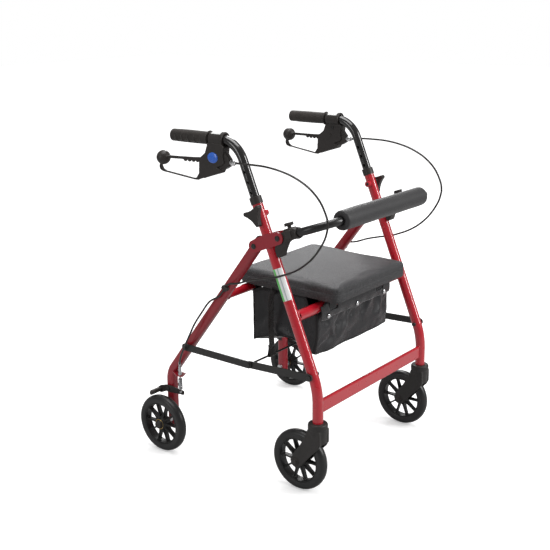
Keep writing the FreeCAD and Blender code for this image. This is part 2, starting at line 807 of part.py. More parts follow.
# ------------------------------------------------------------------ folding stays
def stay(name, side, low, y, z, middle_holes=()):
    """Flat bar with round ends from y, z to the middle joint."""
    run, rise = dim.stay_m_y - value_of(y), dim.stay_m_z - value_of(z)
    length = math.hypot(run, rise)
    points = [(0, "-stay_high/2"), (length, "-stay_high/2"),
              (length, "stay_high/2"), (0, "stay_high/2")]
    holes = [(0, 0, "stay_hole")] + [(length, 0, dia) for dia in middle_holes]
    return slab(name, side, low, low + "+stay_thick", y, z,
                about_x(math.degrees(math.atan2(rise, run))),
                points=points, arcs={1: "stay_high/2", 3: "stay_high/2"}, circles=holes)


def front_stay_frame():
    """Both front stays with the folding rod that joins them."""
    bars = [stay("front_stay_" + hand, side, "stay_in_x", "stay_a_y", "stay_a_z", ["rod_dia"])
            for hand, side in SIDES]
    rod = cylinder("fold_rod_bar", "rod_dia", "2*(stay_in_x+stay_thick)",
                   "-(stay_in_x+stay_thick)", "stay_m_y", "stay_m_z", ALONG_X)
    node(fuse("front_stay_frame", bars + [rod]), "front_stay_frame")


def rear_stay(hand, side):
    """Rear stay with the rivet head of the middle joint on its outer face."""
    name = "rear_stay_" + hand
    bar = stay(name, side, "stay_out_x", "stay_b_y", "stay_b_z")
    x = span(side, "stay_out_x+stay_thick", "stay_out_x+stay_thick+2.4")
    head = cylinder(name + "_rivet", 11, 2.4, x, "stay_m_y", "stay_m_z", ALONG_X)
    return fuse(name + "_fused", [bar, head])


front_stay_frame()
pair_node("rear_stay_links", rear_stay)


# ------------------------------------------------------------------ wheels and casters
def tyre(name, x, y):
    half = [("tyre_wide/2-1", "tyre_in"), ("tyre_wide/2", "wheel_dia/2-tread_rise")]
    tread = "tyre_wide*tyre_wide/(8*tread_rise)+tread_rise/2"
    node(turned(name, (x, y, "wheel_z"), both_ways(half), arcs={3: tread}), name)


def rim(name, x, y, bore):
    """Hub, spokes and ring; bore is a radius."""
    body = new_body(name, x, y, "wheel_z")
    hub = [("hub_half-4", "hub_dia/2"), ("hub_half", "hub_dia/2-4"), ("hub_half", bore)]
    revolve(body, add_sketch(body, "XY", name + "_hub", both_ways(hub)))
    spoke = [("hub_dia/2-2", "-spoke_thick/2"), ("tyre_in-3", "-spoke_thick/2"),
             ("tyre_in-3", "spoke_thick/2"), ("hub_dia/2-2", "spoke_thick/2")]
    first = pad(body, add_sketch(body, "YZ", name + "_spoke", spoke), "spoke_wide", mid=True)
    pattern = body.newObject("PartDesign::PolarPattern", name + "_spokes")
    pattern.Originals = [first]
    pattern.Axis = (origin_part(body, "X_Axis"), [""])
    pattern.Angle = 360.0
    pattern.Occurrences = int(dim.spokes)
    body.Tip = pattern
    outer = [("tyre_wide/2-1.5", "tyre_in-4"), ("tyre_wide/2-1.5", "tyre_in")]
    revolve(body, add_sketch(body, "XY", name + "_ring", both_ways(outer)))
    node(body, name)


def rear_bearings(hand, x):
    """Two sleeve bearings, one in each end of the hub."""
    points = [("hub_half-9", "axle_hole/2"), ("hub_half-9", "bearing_od/2"),
              ("hub_half", "bearing_od/2"), ("hub_half", "axle_hole/2")]
    group_node("rear_bearings_" + hand,
               [turned("rb_%s_%d" % (hand, end + 1), (x, "rear_y", "wheel_z"),
                       mirrored(end, points)) for end in (-1, 1)])


def caster_fork(hand, x):
    """Fork in one piece: front skirt, crown with stem, and two swept arms."""
    name = "caster_fork_" + hand
    body = new_body(name, x, "foot_y", 0)
    # y, z of the skirt, ahead of the tyre
    skirt = [(-17.5, 156), (-17.5, 131), (-14, 127.5), (-10.5, 129.5), (-8.5, 140),
             (-8.5, 156)]
    pad(body, add_sketch(body, "YZ", name + "_skirt", skirt, offset="-fork_in"), "2*fork_in")
    # radius, z
    crown = [(0, 153.5), (19.5, 153.5), (22, 156), (22, 166), (23.5, 167), (23.5, 178),
             (21.5, 181.3), (5.5, 181.3), (5.5, 222), (0, 222)]
    revolve(body, add_sketch(body, "XZ", name + "_crown", crown), "V_Axis")
    # y, z
    arm = [(-15, 164), (-17.5, 152), (-17.5, 134), (-12, 122), (3, 106), (28, 77), (38, 65.5),
           ("trail", 60), (63, 67), (66, 78), (58, 93), (39, 119), (26, 140), (18, 157),
           (13, 164)]
    for k, offset in enumerate(("-fork_in-fork_thick", "fork_in")):
        sketch = add_sketch(body, "YZ", "%s_arm%d" % (name, k), arm, offset=offset,
                            circles=[("trail", "wheel_z", "axle_dia")])
        pad(body, sketch, "fork_thick")
    node(body, name)


def caster_axle(hand, x):
    """Axle bolt with a head outside each fork arm."""
    name = "caster_axle_" + hand
    face = "fork_in+fork_thick"
    half = [(face, "axle_dia/2"), (face, 6.5), (23.5, 6.5), (24.5, 5.5), (24.5, 0)]
    node(turned(name, (x, "foot_y+trail", "wheel_z"), both_ways(half)), name)


for hand, side in SIDES:
    rear_x, front_x = signed(side, "rear_wheel_x"), signed(side, "leg_x")
    tyre("rear_tyre_" + hand, rear_x, "rear_y")
    rim("rear_rim_" + hand, rear_x, "rear_y", "bearing_od/2")
    rear_bearings(hand, rear_x)
    tyre("front_tyre_" + hand, front_x, "foot_y+trail")
    rim("front_rim_" + hand, front_x, "foot_y+trail", "axle_hole/2")
    caster_fork(hand, front_x)
    caster_axle(hand, front_x)


# ------------------------------------------------------------------ handles
def handle_tube(hand, side):
    name = "handle_tube_" + hand
    y, z = up_leg(dim.knob_y, dim.knob_z, -dim.tube_below)
    bend = ("bend_rad", "bend_start", ("bend_end_y", "bend_end_z"),
            ("tube_end_y", "tube_end_z"))
    holes = [(0, "tube_below+(%d)*hole_pitch" % k, "hole_dia") for k in range(-3, 5)]
    node(bent_tube(name, (signed(side, "leg_x"), y, z), bend, round_section("tube_od"),
                   round_section("tube_bore"), holes, LEAN), name)


def hand_grip(hand, side):
    """Grip with a flange at its front end and a closed rear end."""
    name = "hand_grip_" + hand
    # radius, y from the front end
    points = [("tube_od/2", 0), ("grip_ring/2-1", 0), ("grip_ring/2", 1),
              ("grip_ring/2", 3.5), ("grip_ring/2-1", 4.5), ("grip_dia/2-0.6", 5),
              ("grip_dia/2+0.4", 50), ("grip_dia/2-0.2", "grip_len-8"),
              ("grip_dia/2-1", "grip_len-2"), ("grip_dia/2-3", "grip_len"),
              (0, "grip_len"), (0, "grip_len-3"), ("tube_od/2", "grip_len-3")]
    position = (signed(side, "leg_x"), "ring_y", "grip_z")
    node(turned(name, position, points, axis="V_Axis"), name)


def brake_housing(hand, side):
    """Clamp round the tube, two cheeks round the lever root and a nose for the cable."""
    name = "brake_housing_" + hand
    # y, z
    outline = [(-1, 808), (3, 797), (8, 784), (25, 771), (27, 758), (28, 735), (36, 724),
               (30, 719), (6, 727), (-33, 739), (-39, 748), (-27, 753.5), (-43, 758.5),
               (-50, 765), (-47, 781), (-50, 800), (-42, 808)]
    slot = [(60, 786), (0, 786), (-8, 790), (-24, 790), (-31, 780), (-31, 764), (-24.5, 757),
            (-23, 750), (-27, 738), (-24, 700), (60, 700)]
    body = slab(name, side, "brake_x-12", "brake_x+12", 0, 0, points=outline)
    pocket(body, add_sketch(body, "YZ", name + "_slot", slot,
                            offset=5.5 if side > 0 else 4.5), 14, rev=True)
    pin = add_sketch(body, "YZ", name + "_pin", circles=[("lever_y", "lever_z", "pin_hole")])
    pocket(body, pin, 60, mid=True)

    # part, diameter, length, x, front y, z
    nose_z = 765.5
    clamp, bore, barrel, neck, hollow = [
        cylinder(name + part, dia, length, signed(side, x), y, z, ALONG_Y)
        for part, dia, length, x, y, z in (
            ("_clamp", 32, 40, "leg_x", -42, "grip_z"),
            ("_bore", "tube_od", 60, "leg_x", -52, "grip_z"),
            ("_barrel", 9.6, 12, "brake_x", -58, nose_z),
            ("_neck", 7, 10, "brake_x", -66, nose_z),
            ("_hollow", 3, 40, "brake_x", -70, nose_z))]
    solid = fuse(name + "_solid", [body, clamp, barrel, neck])
    node(cut(name, solid, [bore, hollow]), name)


def parking_cam(hand, side):
    """Pivot pin through both cheeks with an eccentric lobe."""
    name = "parking_cam_" + hand
    body = slab(name, side, "brake_x-13", "brake_x+13", "lever_y", "lever_z",
                **round_section("pin_dia"))
    # y, z from the pin
    lobe = [(-8, -2), (-4, -8), (4, -8), (10, -4), (10, 4), (4, 8), (-6, 12), (-10, 8)]
    pad(body, add_sketch(body, "YZ", name + "_lobe", lobe,
                         offset=6.8 if side > 0 else 16), 3.2)
    node(body, name)


def brake_lever(hand, side):
    """Loop lever with a ball, leaning outboard towards the ball."""
    name = "brake_lever_" + hand
    body = new_body(name, signed(side, "brake_x"), "lever_y", "lever_z",
                    turn=Rotation(Z_AXIS, -side * 4.4))
    offset = -2 if side > 0 else -3
    # y, z from the pivot
    loop = [(-8, 8), (8, 9), (36, -2), (60, -3.5), (100, -4.5), (150, -5), (166, -12),
            (166, -30), (160, -41), (148, -46), (62, -57), (50, -57), (34, -46), (4, -34),
            (-3, -19), (-9, -8)]
    window = [(42, -10), (60, -12), (100, -11), (150, -12), (160, -20), (160, -30),
              (156, -38), (146, -42.5), (62, -53), (52, -51), (42, -40)]
    pad(body, add_sketch(body, "YZ", name + "_loop", loop,
                         circles=[(0, 0, "pin_hole+0.5")], offset=offset), 5)
    pocket(body, add_sketch(body, "YZ", name + "_window", window, offset=offset), 30, mid=True)
    ball = doc.addObject("Part::Sphere", name + "_ball")
    ball.Radius = dim.ball_dia / 2
    bind(ball, "Radius", "ball_dia/2")
    place(ball, signed(side, "brake_x+ball_out"), "ball_y", "ball_z")
    node(fuse(name, [body, ball]), name)


def star_outline(start_angle):
    """Three wings with half-round tips, joined by concave facets round the hub."""
    tip_radius = 5.0
    # degrees past the wing, radius
    facets = ((24, 17.5), (42, 14.2), (60, 13.2), (78, 14.2), (96, 17.5))
    points, arcs = [], {}
    for k in range(3):
        angle = math.radians(120 * k + start_angle)
        outward = Vector(math.cos(angle), math.sin(angle), 0)
        across = Vector(-math.sin(angle), math.cos(angle), 0)
        centre = outward * (dim.star_rad - tip_radius)
        arcs[len(points)] = tip_radius
        for corner in (centre - across * tip_radius, centre + across * tip_radius):
            points.append((corner.x, corner.y))
        for past, radius in facets:
            facet = angle + math.radians(past)
            points.append((radius * math.cos(facet), radius * math.sin(facet)))
    return {"points": points, "arcs": arcs}


def height_knob(hand, side):
    """Three-winged head with its hub and screw."""
    name = "height_knob_" + hand
    body = new_body(name, signed(side, "leg_x+leg_od/2+2.6"), "knob_y", "knob_z",
                    turn=Rotation(Z_AXIS, 0 if side > 0 else 180))
    star = star_outline(20 if side > 0 else 180)
    pad(body, add_sketch(body, "YZ", name + "_star", **star), "star_deep")
    pad(body, add_sketch(body, "YZ", name + "_screw", offset="-leg_od-12",
                         **round_section("knob_bolt")), "leg_od+14")
    pad(body, add_sketch(body, "YZ", name + "_hub", offset=-2.4, **round_section(18)), 4)
    node(body, name)


for hand, side in SIDES:
    for make in (handle_tube, hand_grip, brake_housing, parking_cam, brake_lever, height_knob):
        make(hand, side)

# ------------------------------------------------------------------ seat
seat_tilt = math.degrees(math.atan2(dim.seat_low_r - dim.seat_low_f,
                                    dim.seat_rear - dim.seat_front))


def seat_plan(inset, corner):
    """Rounded plan of the seat, drawn in by inset on every side."""
    return rounded_box("2*seat_half-2*(%s)" % inset, "seat_rear-seat_front-2*(%s)" % inset,
                       corner, 0, "(seat_rear-seat_front)/2")


def seat_cushion():
    """Padded seat, recessed below for the pan and rounded over on top."""
    body = new_body("seat_cushion", 0, "seat_front", "seat_low_f", turn=about_x(seat_tilt))
    pad(body, add_sketch(body, "XY", "seat_plan", **seat_plan(0, 22)), "seat_thick")
    recess = pocket(body, add_sketch(body, "XY", "seat_recess", **seat_plan("pan_inset", 14)),
                    "pan_thick", rev=True)
    # the fillet picks its edges from the recomputed shape
    doc.recompute()
    top_edges = []
    for k, edge in enumerate(recess.Shape.Edges, 1):
        heights = [vertex.Point.z for vertex in edge.Vertexes]
        if heights and min(heights) > dim.seat_thick - 0.01:
            top_edges.append("Edge%d" % k)
    fillet = body.newObject("PartDesign::Fillet", "seat_round_over")
    fillet.Base = (recess, top_edges)
    fillet.Radius = dim.seat_round
    bind(fillet, "Radius", "seat_round")
    node(body, "seat_cushion")


def seat_pan():
    body = new_body("seat_pan", 0, "seat_front", "seat_low_f", turn=about_x(seat_tilt))
    plan = seat_plan("pan_inset+0.2", 13.8)
    pad(body, add_sketch(body, "XY", "pan_plan", **plan), "pan_thick")
    node(body, "seat_pan")


def seat_clamp(hand, side):
    """Saddle clamp that turns on the front seat tube."""
    slope = tan_deg(seat_tilt)
    top = dim.seat_low_f + (dim.seat_tube_y - dim.seat_front) * slope - dim.seat_tube_z
    # y, z from the tube's centre; the upper edge follows the seat's underside
    points = [(-17, -8), (-10, -17), (10, -17), (17, -8), (17, 8),
              (30, top + 30 * slope), (-30, top - 30 * slope), (-17, 8)]
    return slab("seat_clamp_" + hand, side, 88, 118, "seat_tube_y", "seat_tube_z",
                points=points, circles=[(0, 0, "seat_tube_od+0.1")])


seat_cushion()
seat_pan()
pair_node("seat_hinge_clamps", seat_clamp)


# ------------------------------------------------------------------ back bar
def backrest_bar():
    """U-shaped tube, built flat in XZ with Z running forward from the pivots."""
    start = 22.0
    x, reach, radius = dim.leg_x, dim.back_reach, dim.back_rad
    # the middle of a bend, measured in from its outer corner
    inset = radius - radius * math.sqrt(0.5)
    straight_end = reach - radius
    path = Part.Wire([
        Part.LineSegment(Vector(-x, 0, start), Vector(-x, 0, straight_end)).toShape(),
        Part.Arc(Vector(-x, 0, straight_end), Vector(-x + inset, 0, reach - inset),
                 Vector(-x + radius, 0, reach)).toShape(),
        Part.LineSegment(Vector(-x + radius, 0, reach), Vector(x - radius, 0, reach)).toShape(),
        Part.Arc(Vector(x - radius, 0, reach), Vector(x - inset, 0, reach - inset),
                 Vector(x, 0, straight_end)).toShape(),
        Part.LineSegment(Vector(x, 0, straight_end), Vector(x, 0, start)).toShape()])

    def swept(dia):
        section = Part.Wire(Part.makeCircle(dia / 2, Vector(-x, 0, start), Z_AXIS))
        return path.makePipeShell([section], True, False)

    bar = shape_node("backrest_bar", swept(dim.back_od).cut(swept(dim.back_bore)))
    place(bar, 0, "back_y", "back_z", BAR_TURN)


def backrest_foam():
    # the bore widens at both ends, where the bar's bends begin
    straight = "leg_x-back_rad"
    # x, radius
    half = [("foam_half-4", "foam_dia/2"), ("foam_half-1.2", "foam_dia/2-1.2"),
            ("foam_half", "foam_dia/2-4"), ("foam_half", "back_od/2+1"),
            (straight, "back_od/2+1"), (straight, "back_od/2")]
    position = (0, *on_arm(-dim.back_reach, 0))
    node(turned("backrest_foam", position, both_ways(half)), "backrest_foam")


BUTTON_ALONG = -30.5


def backrest_bracket(hand, side):
    """Bracket at the back bar's pivot, with a socket for the bar's end."""
    name = "backrest_bracket_" + hand
    # y, z from the pivot; -y runs forward along the arm, +z is across it, up
    points = [(-52, -11.5), (-52, 11.5), (-43, 12.5), (-40, 16), (-21, 16), (-18, 11), (6, 9),
              (9.5, 0), (14, -13), (19, -22), (19.5, -38), (16, -43.5), (9, -42.5), (1, -31),
              (-13, -15.5), (-22, -12.5)]
    body = slab(name, side, "leg_x-12.2", "leg_x+12.2", "back_y", "back_z", ARM_TURN,
                points=points, circles=[(0, 0, "rivet_hole")])
    x = signed(side, "leg_x")
    socket = cylinder(name + "_socket", "back_od", 60, x, *on_arm(-21.0, 0), BAR_TURN)
    guide = cylinder(name + "_guide", 10.1, 30, x, *on_arm(BUTTON_ALONG, 10.0), ARM_TURN)
    return cut(name + "_cut", body, [socket, guide])


def latch_button(hand, side):
    name = "latch_button_" + hand
    # radius, height
    points = [(0, 4.2), (5, 4.2), (5, 11), (8, 11), (8, 15.2), (6.8, 16.4), (0, 16.4)]
    position = (signed(side, "leg_x"), *on_arm(BUTTON_ALONG, 10.2))
    node(turned(name, position, points, "XZ", "V_Axis", turn=ARM_TURN), name)


backrest_bar()
backrest_foam()
pair_node("backrest_brackets", backrest_bracket)
for hand, side in SIDES:
    latch_button(hand, side)


# ------------------------------------------------------------------ cargo bag and straps
def cargo_bag():
    body = new_body("cargo_bag")
    front, rear = "bag_front+12", "bag_rear"
    # y, z; the front panel is lower than the rear one
    side_view = [(front, "bag_low"), (rear, "bag_low"), (rear, "bag_top-3"),
                 (-208, "bag_top-3"), (-219, 405), (front, 405)]
    pad(body, add_sketch(body, "YZ", "bag_side", side_view), "2*bag_half", mid=True)
    front, rear = front + "+bag_wall", rear + "-bag_wall"
    hollow = [(front, "bag_low+bag_wall"), (rear, "bag_low+bag_wall"),
              (rear, "bag_top+10"), (front, "bag_top+10")]
    pocket(body, add_sketch(body, "YZ", "bag_hollow", hollow),
           "2*bag_half-2*bag_wall", mid=True)
    node(body, "cargo_bag")


def fold_strap(hand, side):
    """Webbing strap from under the seat to a loop round the folding rod."""
    points = [(-1.6, 150), (-1.6, 10), (-4.6, 0), (-1.4, -4.6), (1.4, -4.6), (4.6, 0),
              (1.6, 10), (1.6, 150)]
    return slab("strap_" + hand, side, "strap_x-strap_wide/2", "strap_x+strap_wide/2",
                "stay_m_y", "stay_m_z", points=points, circles=[(0, 0, "rod_dia+0.6")])


cargo_bag()
pair_node("fold_straps", fold_strap)

# ------------------------------------------------------------------ brake cables
CABLE_DIA = 4.8
CLIP_HALF_RUN = 8
# outboard x, y, z from the brake housing down to the clip on the rear leg
CABLE_TO_CLIP = [
    (240, -68.5, 765.6), (242, -75.5, 766.2), (246, -83, 766.9), (249.6, -90.5, 767.5),
    (251.3, -99, 768), (252.3, -110, 768.4), (252.9, -128, 768.6), (253, -170, 768),
    (253, -212, 762.5), (253, -251, 752), (253, -290, 733.2), (253, -320, 706.5),
    (253, -338, 674), (253, -341.5, 651), (253, -333, 623), (253, -311, 588.5),
    (253, -283.5, 561), (253, -248.5, 538), (253, -197.5, 517), (254.5, -160, 508),
    (256, -120, 497), (255.2, -86, 484.5), (254, -62.5, 479.5)]
# straight through the clip, along the leg
CABLE_IN_CLIP = [(253.8, dim.clip_y - k * rear_sin, dim.clip_z + k * rear_cos)
                 for k in (CLIP_HALF_RUN, 0, -CLIP_HALF_RUN)]
# from the clip down to the adjuster
CABLE_TO_ADJUSTER = [
    (254.6, dim.clip_y + 20, dim.clip_z - 24), (257, 3, 424), (261, 26, 393),
    (265.5, 46, 362), (267.5, 62, 331), (267.5, 80, 298), (264, 98, 266),
    (258.5, 108, 246), (257, 110, 235.3)]


def brake_cable(side):
    """Round line swept along a smooth curve through the cable's points."""
    points = [Vector(side * x, y + dim.shift_y, z)
              for x, y, z in CABLE_TO_CLIP + CABLE_IN_CLIP + CABLE_TO_ADJUSTER]
    curve = Part.BSplineCurve()
    curve.interpolate(points)
    direction = curve.tangent(curve.FirstParameter)[0]
    section = Part.Wire(Part.makeCircle(CABLE_DIA / 2, points[0], direction))
    return Part.Wire(curve.toShape()).makePipeShell([section], True, True)


shape_node("brake_cables", Part.makeCompound([brake_cable(side) for _, side in SIDES]))

# ------------------------------------------------------------------ check and export
doc.recompute()
bad = []
for obj in doc.Objects:
    if "Invalid" in obj.State or "Error" in obj.State:
        bad.append("%s (%s): %s" % (obj.Name, obj.Label, obj.State))
for obj in nodes:
    if obj.Shape.isNull() or not obj.Shape.isValid() or not obj.Shape.Solids:
        bad.append("%s: null, invalid or no solid" % obj.Label)
if bad:
    raise SystemExit("\n".join(bad))
os.makedirs("parts", exist_ok=True)
for obj in nodes:
    obj.Shape.exportStep("parts/%s.step" % obj.Label)
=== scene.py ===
# A four-wheeled walking frame: folding red frame, seat, cargo bag, back bar and hand brakes.
# Drawing sizes are millimetres. X runs from the right side (-) to the left (+), the front
# wheels are at -Y, the grips point to +Y and the wheels stand on z = 0.
import bpy, bmesh, math, json
from contextlib import contextmanager
from mathutils import Vector, Matrix, noise


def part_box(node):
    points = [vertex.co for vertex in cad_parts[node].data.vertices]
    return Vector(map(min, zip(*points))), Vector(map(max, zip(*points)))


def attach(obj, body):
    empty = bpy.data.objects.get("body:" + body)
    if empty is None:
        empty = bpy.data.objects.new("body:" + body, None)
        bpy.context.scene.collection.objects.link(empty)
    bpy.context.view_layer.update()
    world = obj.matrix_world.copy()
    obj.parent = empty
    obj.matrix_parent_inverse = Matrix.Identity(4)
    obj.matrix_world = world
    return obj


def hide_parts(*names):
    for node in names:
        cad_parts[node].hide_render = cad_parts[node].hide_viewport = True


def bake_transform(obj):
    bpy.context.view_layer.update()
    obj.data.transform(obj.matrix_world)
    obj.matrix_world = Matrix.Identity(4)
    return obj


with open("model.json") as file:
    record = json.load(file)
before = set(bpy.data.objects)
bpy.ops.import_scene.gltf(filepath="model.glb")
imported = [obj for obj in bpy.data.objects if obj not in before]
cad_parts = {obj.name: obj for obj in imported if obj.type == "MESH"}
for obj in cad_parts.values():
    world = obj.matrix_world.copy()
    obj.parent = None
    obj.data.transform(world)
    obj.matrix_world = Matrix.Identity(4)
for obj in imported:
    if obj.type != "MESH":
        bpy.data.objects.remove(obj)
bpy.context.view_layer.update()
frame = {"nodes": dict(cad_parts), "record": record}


NODES = frame["nodes"]
SCENE = bpy.context.scene
X_AXIS, Y_AXIS, Z_AXIS = Vector((1, 0, 0)), Vector((0, 1, 0)), Vector((0, 0, 1))

# ------------------------------------------------------------------ driving dimensions, mm
SIDES = (("right", -1), ("left", 1))  # name, sign of x
FRAME_X = 236.0  # side tubes, handles and casters
REAR_WHEEL_X = 276.7
FRONT_AXLE_Y = -252.0
REAR_AXLE_Y = 158.0
AXLE_Z = 75.0
STEM_Y = -303.0  # caster stems
HANDLE_Z = 817.0
NOSE_X = 240.0  # nose of the brake housing, where the cable leaves
FRONT_LEAN = math.radians(22.1)  # front leg from vertical
REAR_LEAN = math.radians(37.7)  # rear leg from vertical
SEAT_TUBE_Z = 424.0  # front seat tube
REAR_TUBE_Y, REAR_TUBE_Z = -24.7, 439.0
REAR_SPRING_Y = 110.0  # brake spring and wire
LEG = Vector((0, math.sin(FRONT_LEAN), math.cos(FRONT_LEAN)))
ACROSS = Vector((0, LEG.z, -LEG.y))

# Moves drawing y to the frame's own origin.
tyre_low, tyre_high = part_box("rear_tyre_right")
SHIFT_Y = (tyre_low.y + tyre_high.y) / 2 * 1000 - REAR_AXLE_Y


def at(x, y, z):
    """Drawing point in mm as a scene point in metres."""
    return Vector((x, y + SHIFT_Y, z)) * 0.001


def leg_y(z):
    """y of the front leg's axis at height z."""
    return STEM_Y + (z - 261.5) * math.tan(FRONT_LEAN)


def ease(t):
    t = max(0.0, min(1.0, t))
    return t * t * (3 - 2 * t)


def ripple(x, y, z, seed):
    return noise.noise(Vector((x + seed * 17.3, y - seed * 5.1, z + seed * 9.7)))


# ------------------------------------------------------------------ material layers
class Look:
    """A Principled material whose colour, roughness and height are built up in layers."""

    def __init__(self, name, base, rough, metal=0.0, coat=0.0, coat_rough=0.05, spec=0.5,
                 sheen=0.0, sheen_rough=0.4):
        self.material = bpy.data.materials.new(name)
        self.material.use_nodes = True
        self.tree = self.material.node_tree
        self.tree.nodes.clear()
        output = self.new("OutputMaterial")
        self.shader = self.new("BsdfPrincipled")
        self.link(self.shader.outputs[0], output.inputs[0])
        self.position = self.new("TexCoord").outputs["Object"]
        self.base = self.rgb(base)
        value = self.new("Value")
        value.outputs[0].default_value = rough
        self.rough = value.outputs[0]
        self.height = None
        for socket, number in (("Metallic", metal), ("Coat Weight", coat),
                               ("Coat Roughness", coat_rough), ("Specular IOR Level", spec),
                               ("Sheen Weight", sheen), ("Sheen Roughness", sheen_rough)):
            self.shader.inputs[socket].default_value = number

    def new(self, kind):
        return self.tree.nodes.new("ShaderNode" + kind)

    def link(self, source, target):
        self.tree.links.new(source, target)

    def rgb(self, colour):
        node = self.new("RGB")
        node.outputs[0].default_value = (*colour, 1)
        return node.outputs[0]

    def noise(self, scale, detail=3.0, rough=0.5, stretch=None):
        node = self.new("TexNoise")
        node.inputs["Scale"].default_value = scale
        node.inputs["Detail"].default_value = detail
        node.inputs["Roughness"].default_value = rough
        vector = self.position
        if stretch:
            mapping = self.new("Mapping")
            mapping.inputs["Scale"].default_value = stretch
            self.link(vector, mapping.inputs["Vector"])
            vector = mapping.outputs[0]
        self.link(vector, node.inputs["Vector"])
        return node.outputs["Fac"]

    def cells(self, scale, feature):
        node = self.new("TexVoronoi")
        node.feature = feature
        node.inputs["Scale"].default_value = scale
        self.link(self.position, node.inputs["Vector"])
        return node.outputs["Distance"]

    def math(self, operation, *values):
        node = self.new("Math")
        node.operation = operation
        for i, value in enumerate(values):
            if isinstance(value, (int, float)):
                node.inputs[i].default_value = value
            else:
                self.link(value, node.inputs[i])
        return node.outputs[0]

    def remap(self, value, source, target):
        """Carries the range source = (low, high) onto target, clamped."""
        node = self.new("MapRange")
        node.clamp = True
        self.link(value, node.inputs["Value"])
        for socket, number in zip(("From Min", "From Max", "To Min", "To Max"), source + target):
            node.inputs[socket].default_value = number
        return node.outputs[0]

    def mix(self, factor, first, second):
        node = self.new("Mix")
        node.data_type = "RGBA"
        for i, socket in ((0, factor), (6, first), (7, second)):
            self.link(socket, node.inputs[i])
        return node.outputs[2]

    def separate(self, vector):
        node = self.new("SeparateXYZ")
        self.link(vector, node.inputs[0])
        return node.outputs

    def normal_z(self):
        return self.separate(self.new("NewGeometry").outputs["Normal"])[2]

    def tint(self, factor, colour):
        self.base = self.mix(factor, self.base, self.rgb(colour))
        return self

    def vary(self, scale, amount):
        """Colour drifts by +-amount."""
        drift = self.remap(self.noise(scale, detail=2.0), (0.3, 0.7), (1 - amount, 1 + amount))
        node = self.new("VectorMath")
        node.operation = "SCALE"
        self.link(self.base, node.inputs[0])
        self.link(drift, node.inputs["Scale"])
        self.base = node.outputs[0]
        return self

    def speckle(self, scale, low, high, colour):
        """Spots of colour where the noise passes from low to high."""
        spots = self.noise(scale, detail=2.0, rough=0.6)
        return self.tint(self.remap(spots, (low, high), (0, 1)), colour)

    def rough_vary(self, scale, amount, stretch=None):
        drift = self.remap(self.noise(scale, stretch=stretch), (0.3, 0.7), (-amount, amount))
        self.rough = self.math("ADD", self.rough, drift)
        return self

    def relief(self, pattern, height):
        """Adds pattern times height (mm) to the surface."""
        layer = self.math("MULTIPLY", pattern, height)
        self.height = layer if self.height is None else self.math("ADD", self.height, layer)
        return self

    def bumps(self, scale, height, detail=3.0, rough=0.5, stretch=None):
        return self.relief(self.noise(scale, detail, rough, stretch), height)

    def pits(self, scale, height):
        return self.relief(self.cells(scale, "F1"), height)

    def wear(self, radius, colour, strength, rough):
        """Rubbed edges: a bevel normal that differs from the face's marks an edge."""
        bevel = self.new("Bevel")
        bevel.samples = 3
        bevel.inputs["Radius"].default_value = radius
        geometry = self.new("NewGeometry")
        dot = self.new("VectorMath")
        dot.operation = "DOT_PRODUCT"
        self.link(bevel.outputs[0], dot.inputs[0])
        self.link(geometry.outputs["Normal"], dot.inputs[1])
        edge = self.remap(dot.outputs["Value"], (0.995, 0.86), (0, 1))
        patches = self.noise(260, detail=4, rough=0.7)
        edge = self.math("MULTIPLY", edge, self.remap(patches, (0.42, 0.62), (0, strength)))
        self.tint(edge, colour)
        self.rough = self.math("ADD", self.rough, self.math("MULTIPLY", edge, rough))
        return self

    def dust(self, amount):
        """Faint dust on faces that look up."""
        upward = self.remap(self.normal_z(), (0.2, 1.0), (0, amount))
        patches = self.remap(self.noise(55, detail=5, rough=0.6), (0.35, 0.7), (0.2, 1))
        return self.tint(self.math("MULTIPLY", upward, patches), (0.32, 0.3, 0.28))

    def done(self):
        self.link(self.base, self.shader.inputs["Base Color"])
        rough = self.remap(self.rough, (0.03, 1.0), (0.03, 1.0))
        self.link(rough, self.shader.inputs["Roughness"])
        if self.height is not None:
            bump = self.new("Bump")
            bump.inputs["Strength"].default_value = 1.0
            bump.inputs["Distance"].default_value = 0.001
            self.link(self.height, bump.inputs["Height"])
            self.link(bump.outputs[0], self.shader.inputs["Normal"])
        return self.material


# ------------------------------------------------------------------ materials
def paint(name, base, rough, coat, peel):
    look = Look(name, base, rough, coat=coat, coat_rough=0.045)
    look.vary(scale=14, amount=0.04).vary(scale=900, amount=0.03)
    look.rough_vary(scale=60, amount=0.04).bumps(scale=300, height=peel, detail=1)
    look.wear(radius=0.0009, colour=(0.25, 0.2, 0.19), strength=0.35, rough=0.2)
    return look.done()


def coated(name, base, rough, coat, vary, rough_vary, bumps=None, coat_rough=0.05):
    """Thin clear coat; vary, rough_vary and bumps hold the arguments of those layers."""
    look = Look(name, base, rough, coat=coat, coat_rough=coat_rough)
    look.vary(*vary).rough_vary(*rough_vary)
    if bumps:
        look.bumps(*bumps)
    return look


def black_tube(name, base, rough, coat, coat_rough, stretch=None):
    look = coated(name, base, rough, coat, vary=(20, 0.15), rough_vary=(90, 0.05, stretch),
                  bumps=(500, 0.012, 2), coat_rough=coat_rough)
    look.wear(radius=0.0008, colour=(0.12, 0.11, 0.1), strength=0.4, rough=0.2)
    return look.done()


def black_steel():
    look = coated("black_steel", (0.013, 0.012, 0.0115), rough=0.42, coat=0.25, vary=(40, 0.15),
                  rough_vary=(120, 0.08), bumps=(1100, 0.03), coat_rough=0.2)
    look.wear(radius=0.0008, colour=(0.2, 0.19, 0.18), strength=0.45, rough=0.1)
    return look.done()


